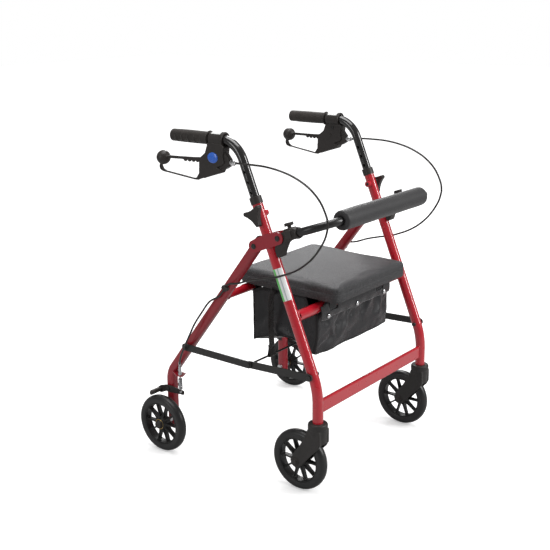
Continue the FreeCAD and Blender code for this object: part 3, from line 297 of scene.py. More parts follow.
def moulded_plastic(name, base, rough, grain, wear=(0.16, 0.15, 0.14), dust=0.05):
    look = Look(name, base, rough, spec=0.45)
    look.vary(scale=18, amount=0.10).vary(scale=240, amount=0.06)
    look.rough_vary(scale=120, amount=0.06)
    look.bumps(scale=1700, height=grain, rough=0.6).pits(scale=900, height=grain * 0.6)
    look.wear(radius=0.0011, colour=wear, strength=0.5, rough=0.1).dust(dust)
    return look.done()


def tyre_rubber():
    look = Look("solid_tyre_rubber", (0.017, 0.0165, 0.017), rough=0.36)
    look.vary(scale=30, amount=0.12).vary(scale=300, amount=0.08)
    look.rough_vary(scale=70, amount=0.08)
    look.bumps(scale=900, height=0.05, detail=4, rough=0.6)
    look.speckle(scale=420, low=0.66, high=0.76, colour=(0.03, 0.029, 0.028))
    return look.dust(0.03).done()


def grip_rubber():
    look = Look("grip_rubber", (0.033, 0.028, 0.025), rough=0.60, spec=0.35, sheen=0.15)
    look.vary(scale=40, amount=0.12).rough_vary(scale=150, amount=0.06)
    look.bumps(scale=1500, height=0.07, rough=0.65).pits(scale=1300, height=0.05)
    look.wear(radius=0.001, colour=(0.11, 0.1, 0.095), strength=0.35, rough=0.0)
    return look.done()


def seat_skin():
    look = Look("seat_grained_skin", (0.050, 0.049, 0.052), rough=0.50, spec=0.45, sheen=0.05)
    # painted light: the sides get a darker colour than the top, painted shade on the sides as if the
    # top were lit from above
    upward = look.remap(look.normal_z(), (0.25, 0.9), (0, 1))
    look.base = look.mix(upward, look.rgb((0.028, 0.0275, 0.029)), look.base)
    look.vary(scale=22, amount=0.10).vary(scale=260, amount=0.10)
    look.speckle(scale=420, low=0.48, high=0.66, colour=(0.080, 0.079, 0.083))
    look.speckle(scale=360, low=0.54, high=0.70, colour=(0.030, 0.030, 0.031))
    grain = look.remap(look.cells(560, "DISTANCE_TO_EDGE"), (0.0, 0.16), (0, 1))
    look.relief(grain, height=0.20).bumps(scale=1000, height=0.14, detail=4, rough=0.6)
    look.bumps(scale=45, height=0.4, detail=2).rough_vary(scale=500, amount=0.10)
    look.wear(radius=0.003, colour=(0.07, 0.07, 0.075), strength=0.25, rough=-0.05)
    return look.done()


def foam():
    look = Look("closed_cell_foam", (0.023, 0.0222, 0.0235), rough=0.52, sheen=0.12,
                sheen_rough=0.5)
    look.vary(scale=16, amount=0.10).vary(scale=400, amount=0.10)
    look.rough_vary(scale=200, amount=0.05).pits(scale=1100, height=0.12)
    look.bumps(scale=700, height=0.10, detail=4, rough=0.7)
    look.bumps(scale=30, height=0.3, detail=2)
    look.speckle(scale=1500, low=0.64, high=0.72, colour=(0.04, 0.039, 0.04))
    return look.done()


def cloth(name, base, rough, period, sheen, weave):
    """Woven cloth: period of the weave in mm, weave its height."""
    look = Look(name, base, rough, spec=0.4, sheen=sheen, sheen_rough=0.35)
    x, y, z = look.separate(look.position)
    frequency = 2 * math.pi / period * 1000
    warp = look.math("SINE", look.math("MULTIPLY", look.math("ADD", x, y), frequency))
    weft = look.math("SINE", look.math("MULTIPLY", z, frequency))
    threads = look.math("MULTIPLY", warp, weft)
    look.relief(threads, weave)
    look.tint(look.remap(threads, (-1, 1), (0, 0.55)), [c * 0.45 for c in base])
    look.vary(scale=25, amount=0.15).rough_vary(scale=60, amount=0.08)
    return look.bumps(scale=130, height=0.35, detail=4, rough=0.6).done()


def metal(name, base, rough, scratch):
    look = Look(name, base, rough, metal=1.0)
    look.vary(scale=80, amount=0.08).rough_vary(scale=160, amount=0.07, stretch=(1, 1, 1))
    look.bumps(scale=1200, height=scratch, rough=0.6, stretch=(1, 1, 1))
    look.speckle(scale=900, low=0.66, high=0.76, colour=[c * 0.6 for c in base])
    return look.done()


def sticker(name, base, rough, bumps=None):
    return coated(name, base, rough, coat=0.4, vary=(90, 0.04), rough_vary=(200, 0.05),
                  bumps=bumps).done()


def striped_sticker():
    look = Look("sticker_green", (0.06, 0.52, 0.08), rough=0.32, coat=0.4)
    x, y, z = look.separate(look.position)
    stripes = look.math("SINE", look.math("MULTIPLY", look.math("ADD", z, y), 1900.0))
    look.tint(look.remap(stripes, (-0.2, 0.2), (0, 0.45)), (0.30, 0.80, 0.28))
    return look.vary(scale=90, amount=0.04).rough_vary(scale=200, amount=0.05).done()


WARM_BLACK = (0.027, 0.0225, 0.0205)
MATERIALS = {
    "red": paint("red_gloss_paint", (0.50, 0.005, 0.018), rough=0.30, coat=1.0, peel=0.0048),
    "red_satin": paint("red_satin_paint", (0.30, 0.009, 0.019), rough=0.36, coat=0.55, peel=0.014),
    "red_plate": paint("red_plate_paint", (0.31, 0.006, 0.018), rough=0.42, coat=0.35, peel=0.012),
    "tube": black_tube("black_gloss_tube", (0.012, 0.011, 0.011), rough=0.22, coat=0.9,
                       coat_rough=0.04, stretch=(1, 1, 0.2)),
    "tube_satin": black_tube("black_satin_tube", (0.011, 0.0105, 0.0105), rough=0.36, coat=0.25,
                             coat_rough=0.12),
    "plastic": moulded_plastic("moulded_plastic_warm_black", WARM_BLACK, rough=0.46, grain=0.05),
    "lever": moulded_plastic("lever_plastic", WARM_BLACK, rough=0.42, grain=0.035),
    "fork": moulded_plastic("fork_plastic", (0.025, 0.0225, 0.021), rough=0.50, grain=0.05),
    "rim": moulded_plastic("rim_plastic", (0.010, 0.0098, 0.0098), rough=0.40, grain=0.03,
                           wear=(0.06, 0.06, 0.06), dust=0.03),
    "tyre": tyre_rubber(),
    "grip": grip_rubber(),
    "seat": seat_skin(),
    "foam": foam(),
    "nylon": cloth("bag_nylon", (0.021, 0.021, 0.023), rough=0.34, period=1.1, sheen=0.45,
                   weave=0.05),
    "binding": cloth("bag_binding_tape", (0.012, 0.012, 0.013), rough=0.55, period=1.6,
                     sheen=0.2, weave=0.12),
    "webbing": cloth("strap_webbing", (0.022, 0.020, 0.018), rough=0.62, period=1.8,
                     sheen=0.3, weave=0.2),
    "cable": coated("cable_housing", (0.018, 0.016, 0.015), rough=0.34, coat=0.3,
                    vary=(60, 0.15), rough_vary=(200, 0.06), bumps=(900, 0.02, 2)).done(),
    "chrome": metal("chrome_plate", (0.82, 0.82, 0.83), rough=0.10, scratch=0.006),
    "zinc": metal("zinc_plate", (0.62, 0.63, 0.64), rough=0.30, scratch=0.02),
    "bronze": metal("sintered_bronze", (0.62, 0.44, 0.18), rough=0.36, scratch=0.03),
    "steel_black": black_steel(),
    "badge": coated("badge_blue", (0.02, 0.13, 0.62), rough=0.28, coat=0.8, vary=(60, 0.08),
                    rough_vary=(200, 0.05), bumps=(700, 0.01, 2)).done(),
    "sticker": sticker("sticker_white", (0.82, 0.83, 0.82), rough=0.32, bumps=(600, 0.01, 2)),
    "sticker_grey": sticker("sticker_grey", (0.50, 0.54, 0.56), rough=0.34),
    "sticker_green": striped_sticker(),
}


# ------------------------------------------------------------------ mesh helpers
@contextmanager
def editing(mesh):
    """A bmesh of the mesh, written back at the end."""
    bm = bmesh.new()
    bm.from_mesh(mesh)
    yield bm
    bm.to_mesh(mesh)
    bm.free()


def link_new(name, data):
    obj = bpy.data.objects.new(name, data)
    SCENE.collection.objects.link(obj)
    return obj


def wear_material(obj, material):
    obj.data.materials.clear()
    obj.data.materials.append(MATERIALS[material])


def build(name, verts, faces, material, sharp=None):
    """Smooth-shaded mesh object; edges steeper than sharp degrees stay sharp."""
    mesh = bpy.data.meshes.new(name)
    mesh.from_pydata([tuple(v) for v in verts], [], faces)
    mesh.validate()
    with editing(mesh) as bm:
        bmesh.ops.remove_doubles(bm, verts=bm.verts, dist=1e-7)
        bmesh.ops.recalc_face_normals(bm, faces=bm.faces)
    mesh.shade_smooth()
    if sharp:
        mesh.set_sharp_from_angle(angle=math.radians(sharp))
    obj = link_new(name, mesh)
    wear_material(obj, material)
    return obj


def bake(obj):
    """Applies every modifier."""
    graph = bpy.context.evaluated_depsgraph_get()
    graph.update()
    mesh = bpy.data.meshes.new_from_object(obj.evaluated_get(graph),
                                           preserve_all_data_layers=True, depsgraph=graph)
    mesh.name = obj.name
    obj.modifiers.clear()
    obj.data = mesh


def subdivide(obj):
    modifier = obj.modifiers.new("fine", "SUBSURF")
    modifier.levels = modifier.render_levels = 1
    return modifier


def thicken(obj, thickness, offset):
    """Gives a sheet its thickness (metres), then bakes it."""
    modifier = obj.modifiers.new("thick", "SOLIDIFY")
    modifier.thickness = thickness
    modifier.offset = offset
    bake(obj)
    obj.data.shade_smooth()


def mount(obj, body, replaced=None):
    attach(obj, body)
    if replaced:
        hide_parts(replaced)


def index_rows(count, size):
    return [range(i * size, (i + 1) * size) for i in range(count)]


def band(low, high):
    """Quads between two closed rows of vertex indices."""
    size = len(low)
    return [(low[i], low[(i + 1) % size], high[(i + 1) % size], high[i]) for i in range(size)]


def skin(rows):
    return [face for low, high in zip(rows, rows[1:]) for face in band(low, high)]


def caps(rows):
    return [tuple(reversed(rows[0])), tuple(rows[-1])]


def spline(points, steps):
    """Catmull-Rom through the points."""
    last = len(points) - 1
    out = []
    for i in range(last):
        p0, p1, p2, p3 = (points[min(max(j, 0), last)] for j in range(i - 1, i + 3))
        for k in range(steps):
            t = k / steps
            out.append(0.5 * ((2 * p1) + (p2 - p0) * t + (2 * p0 - 5 * p1 + 4 * p2 - p3) * t * t
                              + (3 * p1 - p0 - 3 * p2 + p3) * t ** 3))
    out.append(points[-1])
    return out


def arc(x, y, z, radius, degrees):
    """Points on a circle about (x, y, z) in the YZ plane."""
    angles = [math.radians(angle) for angle in degrees]
    return [at(x, y + radius * math.cos(a), z + radius * math.sin(a)) for a in angles]


def sweep(name, path, section, material, up=Z_AXIS, closed=False, fixed=False, taper=0.0):
    """Closed section (metres) carried along path; fixed holds its first axis towards up."""
    count = len(path)
    verts = []
    normal = up
    for i, point in enumerate(path):
        before = path[i - 1] if closed or i > 0 else path[0]
        after = path[(i + 1) % count] if closed or i < count - 1 else path[-1]
        tangent = (after - before).normalized()
        source = up if fixed else normal
        normal = (source - tangent * source.dot(tangent)).normalized()
        across = tangent.cross(normal)
        size = 1.0 - taper * (i / (count - 1))
        verts += [point + normal * (a * size) + across * (b * size) for a, b in section]
    rows = index_rows(count, len(section))
    faces = skin(rows + rows[:1]) if closed else skin(rows) + caps(rows)
    return build(name, verts, faces, material)


def disc(radius, count):
    angles = [2 * math.pi * i / count for i in range(count)]
    return [(radius * math.cos(a), radius * math.sin(a)) for a in angles]


def flat(width, thick, radius=None, steps=4):
    """Rounded rectangle section."""
    limit = thick / 2 * 0.98
    radius = min(limit if radius is None else radius, limit, width / 2)
    out = []
    for quarter, (sx, sy) in enumerate(((1, 1), (-1, 1), (-1, -1), (1, -1))):
        for i in range(steps + 1):
            a = math.radians(90 * quarter + 90 * i / steps)
            out.append((sx * (width / 2 - radius) + radius * math.cos(a),
                        sy * (thick / 2 - radius) + radius * math.sin(a)))
    return out


def lathe(name, profile, centre, axis, material, segments=64, sharp=35, wobble=None):
    """Turns (along, radius) in mm about axis; radius 0 closes the shape to a point."""
    axis = Vector(axis).normalized()
    start = Z_AXIS if abs(axis.z) < 0.8 else Y_AXIS
    start = (start - axis * start.dot(axis)).normalized()
    across = axis.cross(start)
    looped = profile[0] == profile[-1]
    verts, rows = [], []
    for along, radius in profile[:-1] if looped else profile:
        middle = centre + axis * (along * 0.001)
        first = len(verts)
        if radius < 1e-6:
            verts.append(middle)
        else:
            for i in range(segments):
                a = 2 * math.pi * i / segments
                r = radius + (wobble(along, a, radius) if wobble else 0.0)
                verts.append(middle + (start * math.cos(a) + across * math.sin(a)) * (r * 0.001))
        rows.append(range(first, len(verts)))
    if looped:
        rows.append(rows[0])
    faces = []
    for low, high in zip(rows, rows[1:]):
        if len(low) == 1:
            faces += [(low[0], high[(i + 1) % segments], high[i]) for i in range(segments)]
        elif len(high) == 1:
            faces += [(low[i], low[(i + 1) % segments], high[0]) for i in range(segments)]
        else:
            faces += band(low, high)
    return build(name, verts, faces, material, sharp)


def rounded(points, radius, steps=4):
    """Rounds the inner corners of an open profile."""
    out = [points[0]]
    for before, corner, after in zip(points, points[1:], points[2:]):
        a, b, c = Vector(before), Vector(corner), Vector(after)
        reach = min(radius, (a - b).length * 0.45, (c - b).length * 0.45)
        p, q = b + (a - b).normalized() * reach, b + (c - b).normalized() * reach
        for k in range(steps + 1):
            t = k / steps
            v = p * (1 - t) ** 2 + b * (2 * t * (1 - t)) + q * t ** 2
            out.append((v.x, v.y))
    out.append(points[-1])
    return out


def prism(outline, x_first, x_last):
    """Slab between two x planes; outline is (y, z)."""
    verts = [at(x, y, z) for x in (x_first, x_last) for y, z in outline]
    rows = index_rows(2, len(outline))
    return build("addition", verts, caps(rows) + skin(rows), "plastic")


def join(obj, others):
    with editing(obj.data) as bm:
        for other in others:
            bm.from_mesh(other.data)
    for other in others:
        bpy.data.objects.remove(other)


def fuse(obj, voxel, smoothing, material):
    """Remeshes overlapping solids into one softly rounded skin; voxel in mm."""
    remesh = obj.modifiers.new("shape", "REMESH")
    remesh.mode = "VOXEL"
    remesh.voxel_size = voxel * 0.001
    remesh.use_smooth_shade = True
    soften = obj.modifiers.new("soften", "SMOOTH")
    soften.iterations = smoothing
    soften.factor = 0.5
    bake(obj)
    obj.data.shade_smooth()
    wear_material(obj, material)


def moulded(name, node, material, voxel, smoothing, additions=()):
    """Softly rounded twin of a CAD node, with additions fused into it."""
    obj = link_new(name, NODES[node].data.copy())
    if additions:
        join(obj, additions)
    fuse(obj, voxel * (1.0), smoothing, material)
    bodies = frame["record"]["behaviour"]["bodies"]
    mount(obj, next(body for body, nodes in bodies.items() if node in nodes), node)


# ------------------------------------------------------------------ carried-over CAD nodes
# material: node names; a name that ends in "_" stands for both sides
CAD_MATERIALS = {
    "red": "front_leg_ front_seat_tube front_cross_bar knob_nuts rear_seat_tube",
    "red_satin": "rear_leg_",
    "red_plate": "pivot_plates",
    "plastic": "leg_collars cable_clips rear_leg_caps seat_pan backrest_brackets latch_button_ "
               "parking_cam_ brake_housing_ height_knob_ brake_lever_ brake_arm_ caster_fork_",
    "binding": "seat_hinge_clamps",
    "steel_black": "plate_rivets front_stay_bolts rear_frame_bolts front_stay_frame "
                   "rear_stay_links caster_axle_",
    "zinc": "rear_axles cable_adjusters",
    "bronze": "caster_stem_bearings rear_bearings_",
    "tube_satin": "backrest_bar",
    "tube": "handle_tube_",
    "grip": "hand_grip_",
    "rim": "front_rim_ rear_rim_",
    "tyre": "front_tyre_ rear_tyre_",
}


def paint_node(name, material):
    obj = NODES[name]
    if not obj.data.materials:
        obj.data.materials.append(MATERIALS[material])
    for slot in obj.material_slots:
        slot.material = MATERIALS[material]


for material, names in CAD_MATERIALS.items():
    for name in names.split():
        for ending in [side for side, sign in SIDES] if name.endswith("_") else [""]:
            paint_node(name + ending, material)

# ------------------------------------------------------------------ wheels
# (along the axle, radius): inner edge of the tyre up to the middle of its tread
TYRE_HALF = [
    (-11.0, 56.0), (-11.8, 58.0), (-12.1, 62.0), (-12.4, 64.8), (-12.45, 65.2), (-12.3, 66.4),
    (-11.6, 69.0), (-9.6, 71.8), (-6.4, 73.8), (-2.6, 74.85), (0, 75.0)]
# (distance from the axle, half width, half thickness), metres
SPOKE_STATIONS = ((0.014, 0.0092, 0.0030), (0.028, 0.0072, 0.0021), (0.0535, 0.0064, 0.0016))
SPOKES = 10
HUB_CAP = [(-0.5, 0), (-0.5, 12.2), (0.4, 12.4), (1.0, 11.2), (4.9, 10.4), (7.4, 9.4),
           (8.0, 7.0), (8.0, 4.4), (7.2, 4.0), (7.2, 0)]
HUB_RING = [(0.0, 12.5), (0.0, 13.5), (0.6, 13.7), (1.1, 13.5), (1.1, 12.5), (0.0, 12.5)]


def spoke(centre, angle):
    outward = Vector((0, math.cos(angle), math.sin(angle)))
    around = Vector((0, -math.sin(angle), math.cos(angle)))
    verts = [centre + outward * reach + Vector((sx * width, 0, 0)) + around * (st * thick)
             for reach, width, thick in SPOKE_STATIONS
             for sx, st in ((-1, -1), (1, -1), (1, 1), (-1, 1))]
    rows = index_rows(len(SPOKE_STATIONS), 4)
    return build("addition", verts, skin(rows) + caps(rows), "rim")


def wheel(which, side, centre):
    mirrored = [(-along, radius) for along, radius in reversed(TYRE_HALF[:-1])]
    tyre = lathe(f"{which}_tyre_solid_{side}", TYRE_HALF + mirrored + TYRE_HALF[:1], centre,
                 X_AXIS, "tyre", segments=144, sharp=50)
    mount(tyre, f"{which}_wheel_{side}", f"{which}_tyre_{side}")
    spokes = [spoke(centre, 2 * math.pi * i / SPOKES) for i in range(SPOKES)]
    moulded(f"{which}_rim_spoked_{side}", f"{which}_rim_{side}", "rim",
            voxel=1.0, smoothing=3, additions=spokes)


def rear_hub(side, sign):
    """Cap on the outer face, with a bronze ring round its foot."""
    centre = at(sign * (REAR_WHEEL_X + 13.6), REAR_AXLE_Y, AXLE_Z)
    cap = lathe("rear_hub_cap_" + side, rounded(HUB_CAP, 0.8), centre, (sign, 0, 0), "plastic",
                segments=48)
    mount(cap, "rear_wheel_" + side)
    ring = lathe("rear_hub_ring_" + side, HUB_RING, centre, (sign, 0, 0), "bronze", segments=48)
    mount(ring, "rear_wheel_" + side)


for side, sign in SIDES:
    wheel("front", side, at(sign * FRAME_X, FRONT_AXLE_Y, AXLE_Z))
    wheel("rear", side, at(sign * REAR_WHEEL_X, REAR_AXLE_Y, AXLE_Z))
    rear_hub(side, sign)

# ------------------------------------------------------------------ caster forks
# (y from the stem, z): web that blends the crown into an arm, with a boss round the axle
FORK_WEB = [
    (-18, 166), (-18.5, 156), (-18.5, 133), (-12, 121), (3, 105.5), (28, 76.5), (38, 65.0),
    (51, 59.4), (62.5, 65.5), (66.5, 78), (58.5, 93.5), (39.5, 119.5), (26.5, 141), (19, 157),
    (17, 166)]
FORK_SHOULDER = [(0, 0), (0, 20.6), (8, 21.8), (24, 21.8), (24, 0)]
AXLE_CAP = [(-1.0, 0), (-1.0, 9.6), (1.6, 9.4), (2.4, 8.2), (2.4, 6.4), (5.4, 6.2), (6.0, 5.0),
            (6.0, 0)]


def fork_skirt(x):
    """Half ring round the front of the stem; its foot dips lowest at the front."""
    outline = [(radius * math.cos(math.radians(angle)), radius * math.sin(math.radians(angle)))
               for radius, angles in ((20.3, range(205, 336, 10)), (13.2, range(335, 204, -10)))
               for angle in angles]
    size = len(outline)
    verts = [at(x + a, STEM_Y + b, 131 + 8.0 * (1 - min(1.0, abs(b) / 20.0)))
             for a, b in outline]
    verts += [at(x + a, STEM_Y + b, 160) for a, b in outline]
    ends = [(row + i, row + i + 1, row + size - 2 - i, row + size - 1 - i)
            for row in (0, size) for i in range(size // 2 - 1)]
    return build("addition", verts, skin(index_rows(2, size)) + ends, "fork")


def caster_fork(side, sign):
    x = sign * FRAME_X
    web = [(STEM_Y + y, z) for y, z in FORK_WEB]
    additions = [prism(web, *sorted((x + face * 14.2, x + face * 20.4))) for face in (-1, 1)]
    additions.append(lathe("addition", FORK_SHOULDER, at(x, STEM_Y, 147.8), Z_AXIS, "fork",
                           segments=48))
    additions.append(fork_skirt(x))
    moulded("caster_fork_moulded_" + side, "caster_fork_" + side, "fork",
            voxel=1.25, smoothing=7, additions=additions)
    for face in (-1, 1):
        cap = lathe(f"caster_axle_cap_{side}_{face + 1}", rounded(AXLE_CAP, 0.6),
                    at(x + face * 20.0, FRONT_AXLE_Y, AXLE_Z), (face, 0, 0), "plastic",
                    segments=40)
        mount(cap, "caster_" + side)


for side, sign in SIDES:
    caster_fork(side, sign)

# ------------------------------------------------------------------ grips
# (along the handle from the front, radius)
GRIP_FLANGE = [(0.0, 0), (0.0, 11.1), (0.0, 15.6), (0.5, 16.9), (1.6, 17.6), (3.0, 17.5),
               (4.0, 16.8), (4.8, 15.4), (6.0, 14.7)]
GRIP_END = [(110, 14.9), (114.5, 14.8), (116.6, 14.4), (117.6, 13.2), (117.8, 12.0),
            (117.6, 9.6), (116.4, 8.8), (115.8, 8.2), (115.8, 0)]
FINGERS_START, FINGER_PITCH, FINGERS = 21.0, 19.5, 5


def hand_grip(side, sign):
    def wobble(along, angle, radius):
        if radius < 12.5 or along < 7.5 or along > 115:
            return 0.0
        outward, down = sign * math.sin(angle), -math.cos(angle)
        finger_side = ease((outward - 0.02) / 0.45) * ease((down + 0.62) / 0.45)
        phase = (along - FINGERS_START) / FINGER_PITCH
        hollow = min(1.0, 2.1 * abs(math.sin(math.pi * phase))) if 0 < phase < FINGERS else 0.0
        heel = ease((along - 84) / 26) * ease((0.2 - outward) / 0.8)
        uneven = 0.25 * ripple(along * 0.03, math.cos(angle), math.sin(angle), seed=2)
        return -2.0 * finger_side * hollow - heel + uneven

    barrel = [8.0 + 1.3 * i for i in range(78)]
    barrel = [(y, 14.8 + 0.5 * math.sin(math.pi * (y - 8) / 100)) for y in barrel]
    grip = lathe("hand_grip_rubber_" + side, GRIP_FLANGE + barrel + GRIP_END,
                 at(sign * FRAME_X, 2.0, HANDLE_Z), Y_AXIS, "grip", segments=72, sharp=45,
                 wobble=wobble)
    mount(grip, "handle_" + side, "hand_grip_" + side)


for side, sign in SIDES:
    hand_grip(side, sign)

# ------------------------------------------------------------------ brake housings, levers, knobs
CLAMP_LIP = [(0, 11.2), (0, 17.2), (3.6, 17.2), (3.6, 11.2), (0, 11.2)]
# (y, z): gusset between the clamp and the cable nose
GUSSET = [(-20, 806), (-41, 803), (-48, 789), (-62, 772), (-62, 758), (-47, 749), (-30, 750)]
CLAMP_SCREW = [(-2.0, 0), (-2.0, 4.2), (1.4, 4.0), (2.2, 2.8), (2.2, 1.6), (1.2, 1.4), (1.2, 0)]
ADJUSTER = [(-5.0, 0), (-5.0, 7.4), (-1.0, 6.8), (0.0, 5.4), (1.6, 5.2), (1.6, 6.4),
            (10.6, 6.0), (12.0, 4.4), (14.5, 4.0), (15.0, 0)]
FINGER_BUMP = [(-2.4, 0), (-2.4, 4.6), (2.4, 4.6), (2.4, 0)]
BUMP_PLACES = ((37, 763.2), (49, 762.9), (61, 762.8), (73, 763.0))  # y, z under the upper bar
# (x, y, z): the lever's strap as it turns under the ball
LEVER_STRAP = [(252, 146.0, 752), (252.2, 149.0, 746), (252.4, 150.4, 740), (252.4, 149.0, 735),
               (252, 144.0, 731.2), (251.2, 134, 728.6)]
ARM_SLEEVE = [(-14.5, 0), (-14.5, 6.2), (15.6, 6.2), (15.6, 0)]


def knurl(along, angle, radius):
    return -0.30 if 2.4 < along < 10.2 and math.sin(angle * 18) > 0 else 0.0


def brake_housing(side, sign):
    lip = lathe("addition", CLAMP_LIP, at(sign * FRAME_X, -43.6, HANDLE_Z), Y_AXIS, "plastic",
                segments=48)
    gusset = prism(GUSSET, sign * (NOSE_X - 7.5), sign * (NOSE_X + 7.5))
    moulded("brake_housing_moulded_" + side, "brake_housing_" + side, "plastic",
            voxel=0.95, smoothing=5, additions=[lip, gusset])
    # on the inboard side of the clamp
    screw = lathe("clamp_screw_" + side, rounded(CLAMP_SCREW, 0.4),
                  at(sign * 228.0, -22, 794), (-sign, 0, 0), "steel_black", segments=32)
    mount(screw, "handle_" + side)
    # knurled, with its lock ring, at the cable's exit
    adjuster = lathe("lever_adjuster_" + side, rounded(ADJUSTER, 0.35, steps=2),
                     at(sign * NOSE_X, -62.0, 765.2), -Y_AXIS, "chrome", segments=40, sharp=30,
                     wobble=knurl)
    mount(adjuster, "handle_" + side)


def brake_lever(side, sign):
    splay = math.tan(math.radians(4.4))
    additions = [lathe("addition", FINGER_BUMP,
                       at(sign * (NOSE_X + 0.5 + splay * (y + 15)), y, z), X_AXIS, "lever",
                       segments=24) for y, z in BUMP_PLACES]
    strap = [at(sign * x, y, z) for x, y, z in LEVER_STRAP]
    additions.append(sweep("addition", spline(strap, 4), flat(0.0110, 0.0036, 0.0017), "lever",
                           up=X_AXIS, fixed=True, taper=0.45))
    moulded("brake_lever_moulded_" + side, "brake_lever_" + side, "lever",
            voxel=0.95, smoothing=4, additions=additions)


def brake_arm(side, sign):
    """The arm, with a sleeve on its friction bar."""
    sleeve = lathe("addition", rounded(ARM_SLEEVE, 2.2), at(sign * 270.5, 187.4, 153.6),
                   (sign, 0, 0), "plastic", segments=40)
    moulded("brake_arm_moulded_" + side, "brake_arm_" + side, "plastic",
            voxel=0.9, smoothing=5, additions=[sleeve])


for side, sign in SIDES:
    brake_housing(side, sign)
    brake_lever(side, sign)
    moulded("height_knob_moulded_" + side, "height_knob_" + side, "plastic",
            voxel=0.95, smoothing=7)
    brake_arm(side, sign)


def brake_springs():
    """Close-wound springs, drawn as ribbed sleeves, above the brake arms."""
    step, count, pitch, bore = 0.3, 95, 2.1, 3.7
    heights = [step * i for i in range(count)]
    profile = [(z, 4.35 + 0.85 * abs(math.sin(math.pi * z / pitch))) for z in heights]
    profile += [(step * count, bore), (0.0, bore), profile[0]]
    coils = [lathe("brake_spring_coils" if sign < 0 else "addition", profile,
                   at(sign * 257, REAR_SPRING_Y, 172.4), Z_AXIS, "zinc", segments=40, sharp=60)
             for side, sign in SIDES]
    join(coils[0], coils[1:])
    mount(coils[0], "rear_frame", "brake_springs")


def housing_stud():
    """Domed blue oval on the outer face of the right housing."""
    face_x, y, z = -252.0, -16.6, 774.6
    half_length, half_height, count = 15.4, 12.4, 64
    # (height, share of the full oval)
    dome = [(-0.5, 1.0), (0.5, 1.0), (0.85, 0.965), (1.5, 0.86), (2.05, 0.70), (2.5, 0.48),
            (2.75, 0.25)]
    angles = [2 * math.pi * i / count for i in range(count)]
    verts = [at(face_x - height, y + half_length * share * math.cos(a),
                z + half_height * share * math.sin(a)) for height, share in dome for a in angles]
    rows = index_rows(len(dome), count)
    top, crown = rows[-1], len(verts)
    verts.append(at(face_x - 2.85, y, z))
    faces = skin(rows) + [(top[i], top[(i + 1) % count], crown) for i in range(count)]
    stud = build("housing_stud", verts, faces + caps(rows)[:1], "badge", sharp=40)
    mount(stud, "handle_right")


def curved_label(name, rows, columns, radii, point, material, body):
    """Thin closed sheet on a tube; point(row share, column share, radius) places it."""
    width = columns + 1
    verts = [point(j / rows, i / columns, radius)
             for j in range(rows + 1) for radius in radii for i in range(width)]
    faces = []
    for j in range(rows):
        a, b = j * 2 * width, (j + 1) * 2 * width
        for i in range(columns):
            faces.append((a + i, a + i + 1, b + i + 1, b + i))
            faces.append((a + width + i, b + width + i, b + width + i + 1, a + width + i + 1))
        faces.append((a, b, b + width, a + width))
        faces.append((a + columns, a + width + columns, b + width + columns, b + columns))
    last = rows * 2 * width
    for i in range(columns):
        faces.append((i, width + i, width + i + 1, i + 1))
        faces.append((last + i, last + i + 1, last + width + i + 1, last + width + i))
    mount(build(name, verts, faces, material, sharp=30), body)


def clamp_label(side, sign):
    """Plain white label over the clamp."""
    first_angle = 48 if sign < 0 else 40

    def point(down, around, radius):
        a = math.radians(first_angle + 96 * around)
        return at(sign * FRAME_X - radius * math.cos(a), -9.0 - 27.5 * down,
                  HANDLE_Z + radius * math.sin(a))

    curved_label("clamp_label_" + side, 10, 16, (16.55, 16.85), point, "sticker",
                 "handle_" + side)


brake_springs()
housing_stud()
for side, sign in SIDES:
    clamp_label(side, sign)

# ------------------------------------------------------------------ brackets of the back bar
BAR_TILT = math.radians(19.3)
ALONG = Vector((0, -math.cos(BAR_TILT), math.sin(BAR_TILT)))
OVER = Vector((0, math.sin(BAR_TILT), math.cos(BAR_TILT)))
BRACKET_COLLAR = [(0, 9.7), (0, 13.4), (6.5, 13.4), (6.5, 9.7), (0, 9.7)]


def on_bar(sign, x, along, over):
    """Point along the back bar from its pivot and over its axis, mm."""
    return at(sign * x, -202.4, 607.94) + ALONG * (along * 0.001) + OVER * (over * 0.001)


def block(sign, xs, alongs, overs, name="addition", lean=0.0):
    """Box on the back bar; lean slides its top along the bar."""
    verts = [on_bar(sign, x, along + (lean if over == overs[1] else 0), over)
             for x in xs for along in alongs for over in overs]
    faces = [(0, 1, 3, 2), (4, 6, 7, 5), (0, 4, 5, 1), (2, 3, 7, 6), (0, 2, 6, 4), (1, 5, 7, 3)]
    return build(name, verts, faces, "plastic")


def backrest_brackets():
    additions = []
    for side, sign in SIDES:
        additions += [
            lathe("addition", BRACKET_COLLAR, on_bar(sign, FRAME_X, 46.0, 0), ALONG, "plastic",
                  segments=48),
            block(sign, (244.0, 252.5), (23.5, 40.5), (-7.5, 10.5)),
            block(sign, (226.0, 246.0), (17.0, 24.0), (8.0, 13.5))]
    moulded("backrest_brackets_moulded", "backrest_brackets", "plastic",
            voxel=1.05, smoothing=5, additions=additions)


def latch_tab(side, sign):
    """Rounded block on a short stem."""
    tab = block(sign, (228.5, 243.5), (22.0, 39.0), (20.6, 28.2), "latch_tab_" + side, lean=1.2)
    stem = lathe("addition", [(0, 0), (0, 4.7), (8, 4.7), (8, 0)],
                 on_bar(sign, FRAME_X, 30.5, 14.6), OVER, "plastic", segments=32)
    join(tab, [stem])
    fuse(tab, voxel=0.8, smoothing=6, material="plastic")
    mount(tab, "latch_" + side, "latch_button_" + side)


backrest_brackets()
for side, sign in SIDES:
    latch_tab(side, sign)

